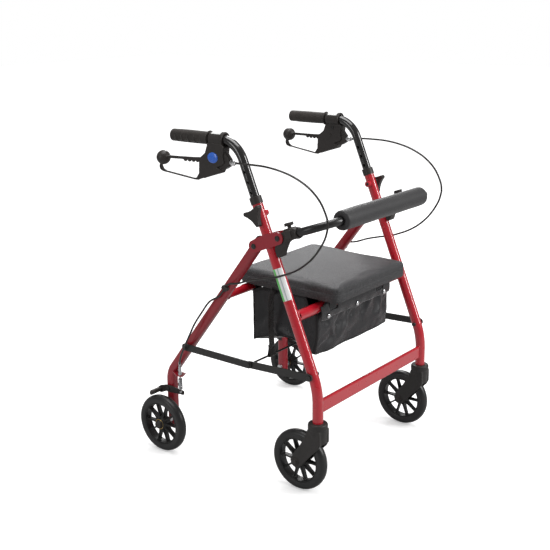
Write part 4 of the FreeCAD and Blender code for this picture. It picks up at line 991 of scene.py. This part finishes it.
# ------------------------------------------------------------------ seat
SEAT_TILT = math.atan2(8.0, 276.0)
SEAT_BASE = at(0, -298, 445)  # middle of the front edge
SEAT_UP = Vector((0, -math.sin(SEAT_TILT), math.cos(SEAT_TILT)))
SEAT_BACK = Vector((0, math.cos(SEAT_TILT), math.sin(SEAT_TILT)))
SEAT_FRONT, SEAT_REAR = -2.5, 293.0  # along SEAT_BACK
SEAT_MIDDLE = (SEAT_FRONT + SEAT_REAR) / 2
SEAT_HALF_X, SEAT_HALF_Y, SEAT_CORNER = 156.8, (SEAT_REAR - SEAT_FRONT) / 2, 21.0
DEEPEST_RING = 60  # rings further in are scaled copies, as inset ones would cross
# (inset, height): from the middle of the underside, out round the edge, to the middle of the top
SEAT_PROFILE = [
    (120, 6.5), (90, 6.5), (60, 6.5), (30, 6.5), (15.5, 6.5), (14.4, 5.6), (14.2, 2.0),
    (13.4, 0.7), (11, 0.3), (6, 0.3), (2.2, 0.6), (0.7, 1.6), (0.1, 3.6), (0.0, 8.0),
    (0.0, 13.0), (0.0, 17.5), (0.15, 19.6), (1.15, 21.0), (0.15, 22.4), (-0.35, 25.0),
    (-0.4, 28.0), (0.1, 31.0), (1.2, 33.6), (3.2, 35.6), (6.2, 36.7), (10, 37.1), (16, 37.4),
    (24, 37.7), (34, 38.0), (46, 38.3), (60, 38.6), (76, 38.8), (94, 39.0), (112, 39.1),
    (128, 39.2)]
PUFF_SHARE, PUFF_LIMIT = 0.6, 0.0026  # how much of the simulated swelling is kept; metres


def seat_point(x, back, up):
    return (SEAT_BASE + Vector((x * 0.001, 0, 0)) + SEAT_BACK * (back * 0.001)
            + SEAT_UP * (up * 0.001))


def seat_local(point):
    offset = point - SEAT_BASE
    return offset.x * 1000, offset.dot(SEAT_BACK) * 1000, offset.dot(SEAT_UP) * 1000


def seat_ring(inset):
    """Rounded rectangle about the seat's middle, inset all round."""
    radius = max(3.0, SEAT_CORNER - inset)
    wide, deep = SEAT_HALF_X - inset - radius, SEAT_HALF_Y - inset - radius
    corners = ((1, -1), (1, 1), (-1, 1), (-1, -1))
    out = []
    for i, (sx, sy) in enumerate(corners):
        for step in range(8):
            t = math.radians(-90 + 90 * i + 90 * step / 8)
            out.append((sx * wide + radius * math.cos(t), sy * deep + radius * math.sin(t)))
        # straight run to the next corner
        next_x, next_y = corners[(i + 1) % 4]
        t = math.radians(90 * i)
        x0, y0 = sx * wide + radius * math.cos(t), sy * deep + radius * math.sin(t)
        x1, y1 = next_x * wide + radius * math.cos(t), next_y * deep + radius * math.sin(t)
        count = 26 if sx == next_x else 24
        out += [(x0 + (x1 - x0) * k / count, y0 + (y1 - y0) * k / count) for k in range(count)]
    return out


def seat_shell():
    verts = []
    for inset, up in SEAT_PROFILE:
        ring = seat_ring(min(inset, DEEPEST_RING))
        scale_x = scale_y = 1
        if inset > DEEPEST_RING:
            scale_x = (SEAT_HALF_X - inset) / (SEAT_HALF_X - DEEPEST_RING)
            scale_y = (SEAT_HALF_Y - inset) / (SEAT_HALF_Y - DEEPEST_RING)
        verts += [seat_point(x * scale_x, y * scale_y + SEAT_MIDDLE, up) for x, y in ring]
    rows = index_rows(len(SEAT_PROFILE), len(ring))
    cushion = build("seat_cushion_skin", verts, skin(rows) + caps(rows), "seat")
    with editing(cushion.data) as bm:
        bmesh.ops.triangulate(bm, faces=[face for face in bm.faces if len(face.verts) > 4])
    return cushion


def puff(cushion):
    """The filling presses the skin outwards; the underside is pinned."""
    rest = [v.co.copy() for v in cushion.data.vertices]
    group = cushion.vertex_groups.new(name="base")
    for v in cushion.data.vertices:
        if seat_local(v.co)[2] < 7.0:
            group.add([v.index], 1.0, "REPLACE")
    modifier = cushion.modifiers.new("cloth", "CLOTH")
    settings = modifier.settings
    settings.quality = 5
    settings.mass = 0.3
    settings.tension_stiffness = settings.compression_stiffness = 30
    settings.shear_stiffness = 18
    settings.bending_stiffness = 4.0
    settings.use_pressure = True
    settings.uniform_pressure_force = 3.0
    settings.vertex_group_mass = "base"
    settings.effector_weights.gravity = 0.0
    modifier.collision_settings.use_collision = False
    modifier.collision_settings.use_self_collision = False
    first, last = 1, 16
    modifier.point_cache.frame_start = first
    modifier.point_cache.frame_end = last
    SCENE.frame_start, SCENE.frame_end = first, last
    for i in range(first, last + 1):
        SCENE.frame_set(i)
    bake(cushion)
    SCENE.frame_set(first)
    for v, start in zip(cushion.data.vertices, rest):
        move = (v.co - start) * PUFF_SHARE
        if move.length > PUFF_LIMIT:
            move = move.normalized() * PUFF_LIMIT
        v.co = start + move


def roughen(cushion):
    """Slight unevenness of the top and the sides."""
    for v in cushion.data.vertices:
        x, y, z = seat_local(v.co)
        share_x, share_y = abs(x) / SEAT_HALF_X, abs(y - SEAT_MIDDLE) / SEAT_HALF_Y
        rim = max(share_x, share_y)
        if z > 33:
            z += 0.7 * ripple(x * 0.016, y * 0.016, 0.3, seed=4) * (1 - rim ** 6)
        elif z > 1:
            push = 0.5 * ripple(x * 0.03, y * 0.03, z * 0.05, seed=5) * ease((rim - 0.9) / 0.05)
            if share_x > share_y:
                x += push if x > 0 else -push
            else:
                y += push if y > SEAT_MIDDLE else -push
        v.co = seat_point(x, y, z)
    cushion.data.update()


def seat_cushion():
    cushion = seat_shell()
    puff(cushion)
    subdivide(cushion)
    bake(cushion)
    roughen(cushion)
    cushion.data.shade_smooth()
    mount(cushion, "seat", "seat_cushion")


seat_cushion()

# ------------------------------------------------------------------ foam sleeve on the back bar
# (x, radius): the right end, from the bore outwards
FOAM_END = [(-178.5, 9.9), (-179.6, 11.0), (-179.9, 13), (-179.8, 18.5), (-179.4, 20.2),
            (-178.4, 21.6), (-176.6, 22.5), (-173.4, 22.9)]


def foam_sleeve():
    def wobble(along, angle, radius):
        if radius < 12:
            return 0.0
        turn = (angle - 4.1 + math.pi) % (2 * math.pi) - math.pi
        groove = math.exp(-(turn / 0.035) ** 2)
        uneven = ripple(along * 0.02, math.cos(angle) * 1.3, math.sin(angle) * 1.3, seed=6)
        return 0.35 * uneven - 0.35 * groove

    low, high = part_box("backrest_foam")
    profile = FOAM_END + [(x, 23.0 + 0.12 * math.sin(x * 0.05)) for x in range(-168, 158, 4)]
    profile += [(-x - 10.0, radius) for x, radius in reversed(FOAM_END)]
    profile += [(166.0, 9.8), (-176.0, 9.8), FOAM_END[0]]
    sleeve = lathe("backrest_foam_sleeve", profile,
                   Vector((0, (low.y + high.y) / 2, (low.z + high.z) / 2)), X_AXIS, "foam",
                   segments=96, sharp=40, wobble=wobble)
    mount(sleeve, "back_bar", "backrest_foam")


foam_sleeve()

# ------------------------------------------------------------------ cargo bag
BAG_HALF_X, BAG_FRONT, BAG_REAR, BAG_CORNER = 148.5, -243.0, -45.5, 9.0
BAG_BOTTOM_Z = 315.0  # middle of the floor
SNAPS_X = (-124, 0, 124)
WALL_ROWS, FLOOR_RINGS, BEND_STEPS = 26, 9, 4
# creases: (start x or y, start z, direction in degrees, height, width, length)
FRONT_CREASES = (
    (-112, 402, -64, 4.6, 4.2, 88), (-96, 400, -52, -3.6, 5.0, 70),
    (-60, 402, -118, 3.6, 5.0, 76), (-4, 404, -122, 4.0, 5.5, 84),
    (10, 402, -60, -3.2, 5.0, 60), (70, 404, -116, 3.4, 6.0, 72),
    (118, 404, -104, 3.4, 5.0, 80), (-140, 330, 28, 3.4, 5.5, 60))
SIDE_CREASES = (
    (-90, 400, -112, 4.0, 5.0, 90), (-150, 405, -60, 3.6, 6.0, 80),
    (-190, 398, -78, -3.5, 6.0, 76), (-110, 352, -160, 3.4, 5.0, 60))


def bag_plan():
    """Plan outline as (x, y, outward x, outward y), and the index of each corner's middle."""
    inner_x = BAG_HALF_X - BAG_CORNER
    near_y, far_y = BAG_FRONT + BAG_CORNER, BAG_REAR - BAG_CORNER
    # start, end, steps, outward, centre of the bend that follows
    edges = (
        ((-inner_x, BAG_FRONT), (inner_x, BAG_FRONT), 56, (0, -1), (inner_x, near_y)),
        ((BAG_HALF_X, near_y), (BAG_HALF_X, far_y), 36, (1, 0), (inner_x, far_y)),
        ((inner_x, BAG_REAR), (-inner_x, BAG_REAR), 44, (0, 1), (-inner_x, far_y)),
        ((-BAG_HALF_X, far_y), (-BAG_HALF_X, near_y), 36, (-1, 0), (-inner_x, near_y)))
    ring, corners = [], []
    for quarter, ((x0, y0), (x1, y1), steps, outward, (bend_x, bend_y)) in enumerate(edges):
        for i in range(steps):
            t = i / steps
            ring.append((x0 + (x1 - x0) * t, y0 + (y1 - y0) * t, *outward))
        corners.append(len(ring) + BEND_STEPS // 2)
        for i in range(BEND_STEPS):
            a = math.radians(90 * (quarter - 1) + 90 * i / BEND_STEPS)
            out_x, out_y = math.cos(a), math.sin(a)
            ring.append((bend_x + BAG_CORNER * out_x, bend_y + BAG_CORNER * out_y, out_x, out_y))
    return ring, corners


BAG_RING, BAG_CORNERS = bag_plan()
RING_SIZE = len(BAG_RING)


def bag_depth(y):
    return (y - BAG_FRONT) / (BAG_REAR - BAG_FRONT)


def bag_low(x, y):
    """Bottom edge: raised midway between front and rear, most of all at the sides."""
    arch = math.sin(math.pi * max(0.0, min(1.0, bag_depth(y)))) ** 0.9
    side = ease((abs(x) - 70) / 78)
    return 310.0 + 24 * arch * side + 5 * arch * (1 - side)


def bag_top(x, y):
    depth = bag_depth(y)
    side = ease((abs(x) - 120) / 25)
    return (410.0 + (20 + 14 * side) * ease((depth - 0.12) / 0.10)
            - 10 * side * ease((depth - 0.86) / 0.12))


def snap_distance(x):
    return min(abs(x - snap) for snap in SNAPS_X)


def crease_push(place, z, creases, drift, seed):
    """Sum of the sharp creases at (place, z) on a wall."""
    push = 0.0
    for start, start_z, degrees, height, width, length in creases:
        cos, sin = math.cos(math.radians(degrees)), math.sin(math.radians(degrees))
        along = (place - start) * cos + (z - start_z) * sin
        off = -(place - start) * sin + (z - start_z) * cos
        off += 5 * ripple(along * 0.03, start, drift, seed)
        push += (height * math.exp(-(off / width) ** 2) * ease(along / 12 + 0.5)
                 * ease((length - along) / 30))
    return push


def front_push(x, z, rise, belly):
    # creases that run down from where the hem is gathered at the snaps
    gather = ease((rise - 0.30) / 0.6) * (0.35 + 0.65 * ease(snap_distance(x) / 45))
    push = 5.0 * gather * math.sin(x * 0.115 + 1.3 * ripple(x * 0.02, z * 0.02, 0, seed=3))
    push += 3.2 * ripple(x * 0.016 + z * 0.012, z * 0.028, 1.0, seed=5) * (0.35 + belly)
    push += 1.6 * ripple(x * 0.05 - z * 0.03, z * 0.05, 2.0, seed=7)
    # long slanting folds on the right half
    push += (2.6 * math.sin((x * 0.6 - (z - 310) * 1.2) * 0.075) * ease((0.95 - rise) / 0.5)
             * ease((120 - abs(x + 60)) / 90))
    push += crease_push(x, z, FRONT_CREASES, drift=0.5, seed=11)
    return min(push * ease((BAG_HALF_X - abs(x)) / 14), 5.2)


def side_push(y, z, out_x, belly):
    """The side walls hang inwards midway and fold."""
    slack = math.sin(math.pi * bag_depth(y))
    push = -9.0 * slack * (0.4 + 0.6 * belly)
    push += 4.5 * ripple(y * 0.02 + z * 0.014, z * 0.022, out_x * 3, seed=8) * slack
    push += 2.4 * math.sin((y * 0.8 + (z - 310) * 0.9) * 0.085 + out_x) * slack * belly
    push += 1.4 * ripple(y * 0.06, z * 0.06, out_x, seed=9) * slack
    return push + crease_push(y, z, SIDE_CREASES, drift=out_x, seed=12) * ease(slack * 3)


def bag_point(i, rise):
    """Drawing point of plan station i, rise 0 at the bottom edge and 1 at the hem."""
    x, y, out_x, out_y = BAG_RING[i]
    low = bag_low(x, y)
    z = low + (bag_top(x, y) - low) * rise
    belly = math.sin(math.pi * rise)
    push = 0.0
    if -out_y > 0.5:
        push = front_push(x, z, rise, belly)
    if abs(out_x) > 0.5:
        push = min(push + side_push(y, z, out_x, belly), 1.5)
    if out_y > 0.5:
        push = min(push - abs(2.5 * ripple(x * 0.02, z * 0.02, 4, seed=10)) * belly, 0.0)
    out_of_x, out_of_y = x + out_x * push, y + out_y * push
    # the front is wider than the back and its lower corners stand out
    flare = ease((-178 - y) / 62)
    out_of_x *= 1 + (0.038 + 0.028 * ease((0.6 - rise) / 0.6)) * flare
    out_of_x += 8.5 * flare * ease((out_of_x + 40) / 170)
    out_of_x *= 1 + 0.035 * ease((y + 82) / 30)
    out_of_y += 5.0 * flare * ease((0.45 - rise) / 0.45) * ease((abs(x) - 95) / 50)
    z += 0.9 * ripple(x * 0.03, y * 0.03, rise * 3, seed=11) * (1 if 0 < rise < 1 else 0.4)
    return out_of_x, out_of_y, z


def bag_blend(obj):
    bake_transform(obj)


def bag_cloth():
    verts = [at(*bag_point(i, row / WALL_ROWS))
             for row in range(WALL_ROWS + 1) for i in range(RING_SIZE)]
    rows = index_rows(WALL_ROWS + 1, RING_SIZE)
    faces = skin(rows)
    # floor: sagging rings that close onto a line along the middle
    outer = rows[0]
    middle_y = (BAG_FRONT + BAG_REAR) / 2
    for ring in range(1, FLOOR_RINGS + 1):
        share = 1 - ring / FLOOR_RINGS
        inner = range(len(verts), len(verts) + RING_SIZE)
        for i in range(RING_SIZE):
            x, y, z = bag_point(i, 0.0)
            middle_x = max(-60.0, min(60.0, x))
            x = middle_x + (x - middle_x) * share
            y = middle_y + (y - middle_y) * share
            z = z * share + BAG_BOTTOM_Z * (1 - share) - 3.0 * math.sin(math.pi * share)
            if share > 0:
                z += 1.6 * ripple(x * 0.03, y * 0.03, 5, seed=12)
            verts.append(at(x, y, z))
        faces += band(inner, outer)
        outer = inner
    bag = build("cargo_bag_cloth", verts, faces, "nylon")
    subdivide(bag)
    thicken(bag, thickness=0.0011, offset=-1)
    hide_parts("cargo_bag")
    bag_blend(bag)


def bag_binding():
    """Tape round the hem, piping round the bottom edge, tape down the four corners."""
    tapes = []
    for part, rise, section in (("hem", 1.0, flat(0.0095, 0.0022)), ("foot", 0.0, disc(0.0017, 10))):
        path = [at(*bag_point(i, rise)) for i in range(RING_SIZE)]
        tapes.append(sweep("bag_binding_" + part, path, section, "binding", closed=True,
                           fixed=True))
    for number, i in enumerate(BAG_CORNERS):
        path = [at(*bag_point(i, row / 20)) for row in range(21)]
        x, y, out_x, out_y = BAG_RING[i]
        tapes.append(sweep(f"bag_binding_corner_{number}", path, flat(0.0078, 0.0026),
                           "binding", up=Vector((out_y, -out_x, 0)), fixed=True))
    for tape in tapes:
        bag_blend(tape)


# (y, z) of the flap's section: up the front face, then (after the arc) down behind the tube
FLAP_FRONT = [(-251.5, 396.5), (-253.0, 400), (-254.6, 406), (-255.2, 413), (-254.4, 420)]
FLAP_REAR = [(-221.8, 420), (-222.4, 412), (-223.5, 406)]
FLAP_HALF_X, FLAP_COLUMNS = 152, 76


def bag_flap():
    """Hooks over the front seat tube, cut out round the seat's hinge clamps."""
    turns = [math.radians(angle) for angle in range(168, 11, -12)]
    path = FLAP_FRONT + [(-237 + 15.6 * math.cos(a), 424.4 + 14.6 * math.sin(a)) for a in turns]
    path += FLAP_REAR
    size = len(path)
    verts, faces = [], []
    for i in range(FLAP_COLUMNS + 1):
        x = -FLAP_HALF_X + 2 * FLAP_HALF_X * i / FLAP_COLUMNS
        near = snap_distance(x)
        for j, (y, z) in enumerate(path):
            low = ease((412 - z) / 14) if j < 6 else 0.0
            dip = 3.6 * low * (1 - ease(near / 30))
            swell = 1.8 * low * math.sin(x * 0.13) * ease(near / 22)
            verts.append(at(x, y - swell * 0.6 + 0.5 * ripple(x * 0.04, j * 0.4, 1, seed=14),
                            z - dip + 1.5 * low * ripple(x * 0.03, 2, 2, seed=15)))
    for i in range(FLAP_COLUMNS):
        x = abs(-FLAP_HALF_X + 2 * FLAP_HALF_X * (i + 0.5) / FLAP_COLUMNS)
        for j in range(size - 1):
            clamp_cut = 84 < x < 122 and path[j][1] > 411
            end_cut = x > 122 and j > 5 + 3 * ease((FLAP_HALF_X - x) / 30)
            if not (clamp_cut or end_cut):
                a, b = i * size + j, (i + 1) * size + j
                faces.append((a, b, b + 1, a + 1))
    # drop the points that the cut-outs leave loose
    used = sorted({i for face in faces for i in face})
    renumber = {old: new for new, old in enumerate(used)}
    flap = build("bag_front_flap", [verts[i] for i in used],
                 [tuple(renumber[i] for i in face) for face in faces], "nylon")
    subdivide(flap).boundary_smooth = "PRESERVE_CORNERS"
    thicken(flap, thickness=0.0012, offset=0)
    mount(flap, "front_frame")


SNAP = [(-2.6, 0), (-2.6, 4.0), (0.0, 6.3), (0.6, 6.2), (1.6, 5.2), (2.4, 3.6), (2.8, 1.6),
        (2.85, 0)]


def bag_fasteners():
    """Snaps on the front flap, webbing loops round the rear seat tube."""
    for number, x in enumerate(SNAPS_X):
        snap = lathe(f"bag_snap_{number}", rounded(SNAP, 0.5, steps=2), at(x, -256.0, 402.5),
                     -Y_AXIS, "chrome", segments=40, sharp=50)
        mount(snap, "front_frame")
    for number, x in enumerate((-118, 0, 118)):
        path = [at(x, -47.0, 414), at(x, -45.0, 420), at(x, -41, 425)]
        path += arc(x, REAR_TUBE_Y, REAR_TUBE_Z, 12.1, range(215, 541, 15))
        path += [at(x, -39.5, 431.5), at(x, -43.0, 428), at(x, -44.4, 424)]
        loop = sweep(f"bag_rear_loop_{number}", spline(path, 3), flat(0.0012, 0.024), "webbing")
        mount(loop, "rear_frame")


bag_cloth()
bag_binding()
bag_flap()
bag_fasteners()


# ------------------------------------------------------------------ fold straps
def fold_strap(side, sign):
    """Strap from under the seat, ending in a loop round a rod of the front stays."""
    x, y, rod_z, top_z = sign * 166.0, -114.6, 287.7, 420
    path = [at(sign * 139, y + 2, 449.2), at(sign * 152, y + 1.2, 446.8),
            at(sign * 160, y, 441.5), at(sign * 164.6, y, 432), at(x, y, top_z)]
    path += [at(x + 0.5 * math.sin(i * 0.9), y + 0.8 * math.sin(i * 0.5),
                top_z - (top_z - 304) * i / 9) for i in range(1, 10)]
    strap = sweep("fold_strap_" + side, spline(path, 4), flat(0.022, 0.0018), "webbing",
                  up=Vector((sign * 0.6, 0, 1)))
    path = [at(x, y - 0.6, 306), at(x, y - 2.4, 297)]
    path += arc(x, y, rod_z, 4.3, range(150, 391, 20))
    path += [at(x, y + 2.4, 297), at(x, y + 0.8, 306), at(x, y + 1.6, 314)]
    loop = sweep("fold_strap_loop_" + side, spline(path, 3),
                 [(b, a) for a, b in flat(0.022, 0.0016)], "webbing", up=Y_AXIS)
    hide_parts("fold_straps")
    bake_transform(strap)
    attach(loop, "front_stays")


for side, sign in SIDES:
    fold_strap(side, sign)

# ------------------------------------------------------------------ brake cables
# The middle and lower lengths meet on the line of the rear leg and run along it there.
JOINT_Z = 466
JOINT_Y = -133.6 + (580.0 - JOINT_Z) * math.tan(REAR_LEAN)
RUN_Y, RUN_Z = 8 * math.sin(REAR_LEAN), 8 * math.cos(REAR_LEAN)
# (x, y, z) from the housing to the brake arm, x for the left side
CABLE_UPPER = [
    (240, -66, 765.5), (240.6, -72, 765.8), (242, -76.5, 766.2), (246, -83, 766.9),
    (249.6, -90.5, 767.5), (251.3, -99, 768), (252.3, -110, 768.4), (252.9, -128, 768.6),
    (253, -170, 768), (253, -212, 762.5), (253, -251, 752), (253, -290, 733.2),
    (253, -320, 706.5), (253, -338, 674), (253, -341.5, 651)]
CABLE_MIDDLE = [
    CABLE_UPPER[-1], (253, -333, 623), (253, -311, 588.5), (253, -283.5, 561),
    (253, -248.5, 538), (253, -197.5, 517), (254.5, -160, 508), (256, -120, 497),
    (255.2, -86, 484.5), (254, -62.5, 479.5), (253.8, JOINT_Y - RUN_Y, JOINT_Z + RUN_Z),
    (253.8, JOINT_Y, JOINT_Z)]
CABLE_LOWER = [
    CABLE_MIDDLE[-1], (253.8, JOINT_Y + RUN_Y, JOINT_Z - RUN_Z), (254.6, JOINT_Y + 20, 442),
    (257, 3, 424), (261, 26, 393), (265.5, 46, 362), (267.5, 62, 331), (267.5, 80, 298),
    (264, 98, 266), (258.5, 108, 246), (257, REAR_SPRING_Y, 233)]
FERRULE = [(-4.0, 0), (-4.0, 3.1), (5.0, 3.1), (6.0, 2.6), (6.0, 0)]
WIRE = ((257, 236), (257, 200), (256.6, 176), (254, 165))  # x, z
NIPPLE = [(-3.2, 0), (-3.2, 2.9), (3.2, 2.9), (3.2, 0)]


def brake_cable(side, sign):
    upper, middle, lower = (
        sweep(f"brake_cable_{part}_{side}", spline([at(sign * x, y, z) for x, y, z in run], 7),
              disc(0.0024, 14), "cable", up=X_AXIS)
        for part, run in (("upper", CABLE_UPPER), ("middle", CABLE_MIDDLE),
                          ("lower", CABLE_LOWER)))
    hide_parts("brake_cables")
    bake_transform(upper)
    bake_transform(middle)
    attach(lower, "rear_frame")


def brake_wire(side, sign):
    """Ferrule at the cable's end, and the bare wire down to its nipple at the arm."""
    ferrule = lathe("cable_ferrule_" + side, rounded(FERRULE, 0.4, steps=2),
                    at(sign * 257, REAR_SPRING_Y, 240), (0, 0.05, 1), "zinc", segments=28)
    mount(ferrule, "rear_frame")
    path = [at(sign * x, REAR_SPRING_Y, z) for x, z in WIRE]
    wire = sweep("brake_wire_" + side, spline(path, 4), disc(0.0008, 8), "zinc", up=X_AXIS)
    mount(wire, "rear_frame")
    nipple = lathe("wire_nipple_" + side, rounded(NIPPLE, 0.5, steps=2),
                   at(sign * 255.6, REAR_SPRING_Y, 164), X_AXIS, "zinc", segments=24)
    mount(nipple, "brake_" + side)


for side, sign in SIDES:
    brake_cable(side, sign)
    brake_wire(side, sign)


# ------------------------------------------------------------------ weld beads
def bead(name, path, radius, body, material="red"):
    """Closed, slightly lumpy ring of weld."""
    weld = sweep(name, path, disc(radius * 0.001, 10), material, up=X_AXIS, closed=True)
    for v in weld.data.vertices:
        lump = ripple(v.co.x * 700, v.co.y * 700, v.co.z * 700, seed=3)
        v.co += v.normal * 0.00035 * (lump + 0.5 * math.sin((v.co.y + v.co.z) * 2600))
    mount(weld, body)


def seat_tube_weld(side, sign):
    path = []
    for angle in range(0, 360, 6):
        a = math.radians(angle)
        offset = math.sqrt((12.7 * abs(math.sin(a)) + 0.3) ** 2 + 9)
        path.append(at(sign * (FRAME_X - offset), leg_y(SEAT_TUBE_Z), SEAT_TUBE_Z)
                    + (ACROSS * math.cos(a) + LEG * math.sin(a)) * 0.0128)
    bead("weld_seat_tube_" + side, path, 1.9, "front_frame")


def cross_bar_weld(side, sign):
    """Follows the flat bar's section where it meets the round leg."""
    corners = []
    for tall, deep in flat(0.0345, 0.0105, 0.0045, 5):
        y = deep * 1000
        corners.append(at(sign * (FRAME_X - math.sqrt(12.9 ** 2 - y ** 2) - 0.6),
                          STEM_Y + y, 218 + tall * 1000))
    path = []
    for p, q in zip(corners, corners[1:] + corners[:1]):
        steps = max(1, int((q - p).length / 0.0012))
        path += [p.lerp(q, j / steps) for j in range(steps)]
    bead("weld_cross_bar_" + side, path, 1.5, "front_frame")


for side, sign in SIDES:
    seat_tube_weld(side, sign)
    bead("weld_rear_tube_" + side,
         arc(sign * (FRAME_X - 12.5), REAR_TUBE_Y, REAR_TUBE_Z, 11.2, range(0, 360, 6)),
         1.7, "rear_frame", "red_satin")
    cross_bar_weld(side, sign)


# ------------------------------------------------------------------ stickers, right front leg
def leg_sticker(name, first_angle, last_angle, material, radius=12.82, thick=0.12):
    low_z, high_z = 463, 534

    def point(up, around, r):
        z = low_z + (high_z - low_z) * up
        a = math.radians(first_angle + (last_angle - first_angle) * around)
        outward = -X_AXIS * math.cos(a) - ACROSS * math.sin(a)
        return at(-FRAME_X, leg_y(z), z) + outward * (r * 0.001)

    curved_label(name, 16, 14, (radius, radius + thick), point, material, "front_frame")


leg_sticker("leg_sticker", -2, 84, "sticker")
leg_sticker("leg_sticker_strip", -52, -2, "sticker_green")
leg_sticker("leg_sticker_band", 22, 34, "sticker_grey", radius=12.93, thick=0.05)


# ------------------------------------------------------------------ stage, light, camera
def floor_material():
    """Pale and glowing to the camera, mid grey to every other ray."""
    look = Look("studio_floor", (0.93, 0.93, 0.93), rough=0.75, spec=0.1)
    look.vary(scale=2, amount=0.01).rough_vary(scale=4, amount=0.04)
    look.bumps(scale=60, height=0.05, detail=2)
    camera_ray = look.new("LightPath").outputs["Is Camera Ray"]
    look.shader.inputs["Emission Color"].default_value = (1, 1, 1, 1)
    distance = look.new("VectorMath")
    distance.operation = "LENGTH"
    look.link(look.position, distance.inputs[0])
    glow = look.remap(distance.outputs["Value"], (1.0, 5.0), (0.34, 0.75))
    look.base = look.mix(camera_ray, look.rgb((0.42, 0.42, 0.42)), look.base)
    look.link(look.math("MULTIPLY", camera_ray, glow), look.shader.inputs["Emission Strength"])
    return look.done()


def floor():
    material = floor_material()
    half = 14
    mesh = bpy.data.meshes.new("floor")
    mesh.from_pydata([(-half, -half, 0), (half, -half, 0), (half, half, 0), (-half, half, 0)],
                     [], [(0, 1, 2, 3)])
    obj = link_new("floor", mesh)
    mesh.materials.append(material)


def studio_world():
    """White to the camera, an even fill for diffuse light, dim in reflections."""
    world = bpy.data.worlds.new("studio")
    SCENE.world = world
    world.use_nodes = True
    tree = world.node_tree
    background = tree.nodes["Background"]
    background.inputs[0].default_value = (1.0, 1.0, 1.0, 1)
    rays = tree.nodes.new("ShaderNodeLightPath").outputs

    def choose(factor, off, on):
        node = tree.nodes.new("ShaderNodeMix")
        node.data_type = "FLOAT"
        tree.links.new(factor, node.inputs[0])
        for i, value in ((2, off), (3, on)):
            if isinstance(value, float):
                node.inputs[i].default_value = value
            else:
                tree.links.new(value, node.inputs[i])
        return node.outputs[0]

    unseen = choose(rays["Is Glossy Ray"], off=0.55, on=0.20)
    strength = choose(rays["Is Camera Ray"], off=unseen, on=1.0)
    tree.links.new(strength, background.inputs[1])


# name, place, aim, width, height (metres), watts
LIGHTS = (
    ("key", (1.3, -2.9, 1.9), (0, 0, 0.45), 0.7, 1.9, 60),
    ("top", (0.0, 0.0, 3.0), (0, 0, 0.3), 1.8, 1.8, 44),
    ("fill", (-3.2, 0.9, 1.5), (0, 0, 0.45), 0.9, 1.8, 16),
    ("rim", (2.2, 1.6, 2.2), (0, 0, 0.55), 0.9, 1.6, 34),
)


def area_light(name, place, aim, width, height, power):
    light = bpy.data.lights.new(name, "AREA")
    light.shape = "RECTANGLE"
    light.size, light.size_y, light.energy = width, height, power
    obj = link_new(name, light)
    obj.location = place
    obj.rotation_euler = (Vector(aim) - Vector(place)).to_track_quat("-Z", "Y").to_euler()


def camera():
    """Looks from the front right, slightly above, with a small roll."""
    obj = link_new("camera", bpy.data.cameras.new("camera"))
    back = Vector((-0.76006, -0.59172, 0.26868)).normalized()
    level = Vector((0.61431, -0.78907, 0.0)).normalized()
    upright = back.cross(level)
    roll = math.radians(-0.707)
    right = level * math.cos(roll) + upright * math.sin(roll)
    up = -level * math.sin(roll) + upright * math.cos(roll)
    eye = at(-1947.195, -1514.887, 1121.373)
    obj.matrix_world = Matrix((*zip(right, up, back, eye), (0, 0, 0, 1)))
    obj.data.lens = 64.23
    obj.data.sensor_width = 36
    obj.data.clip_end = 60
    SCENE.camera = obj


floor()
studio_world()
for light in LIGHTS:
    area_light(*light)
camera()
SCENE.view_settings.view_transform = "Standard"
SCENE.view_settings.look = "None"
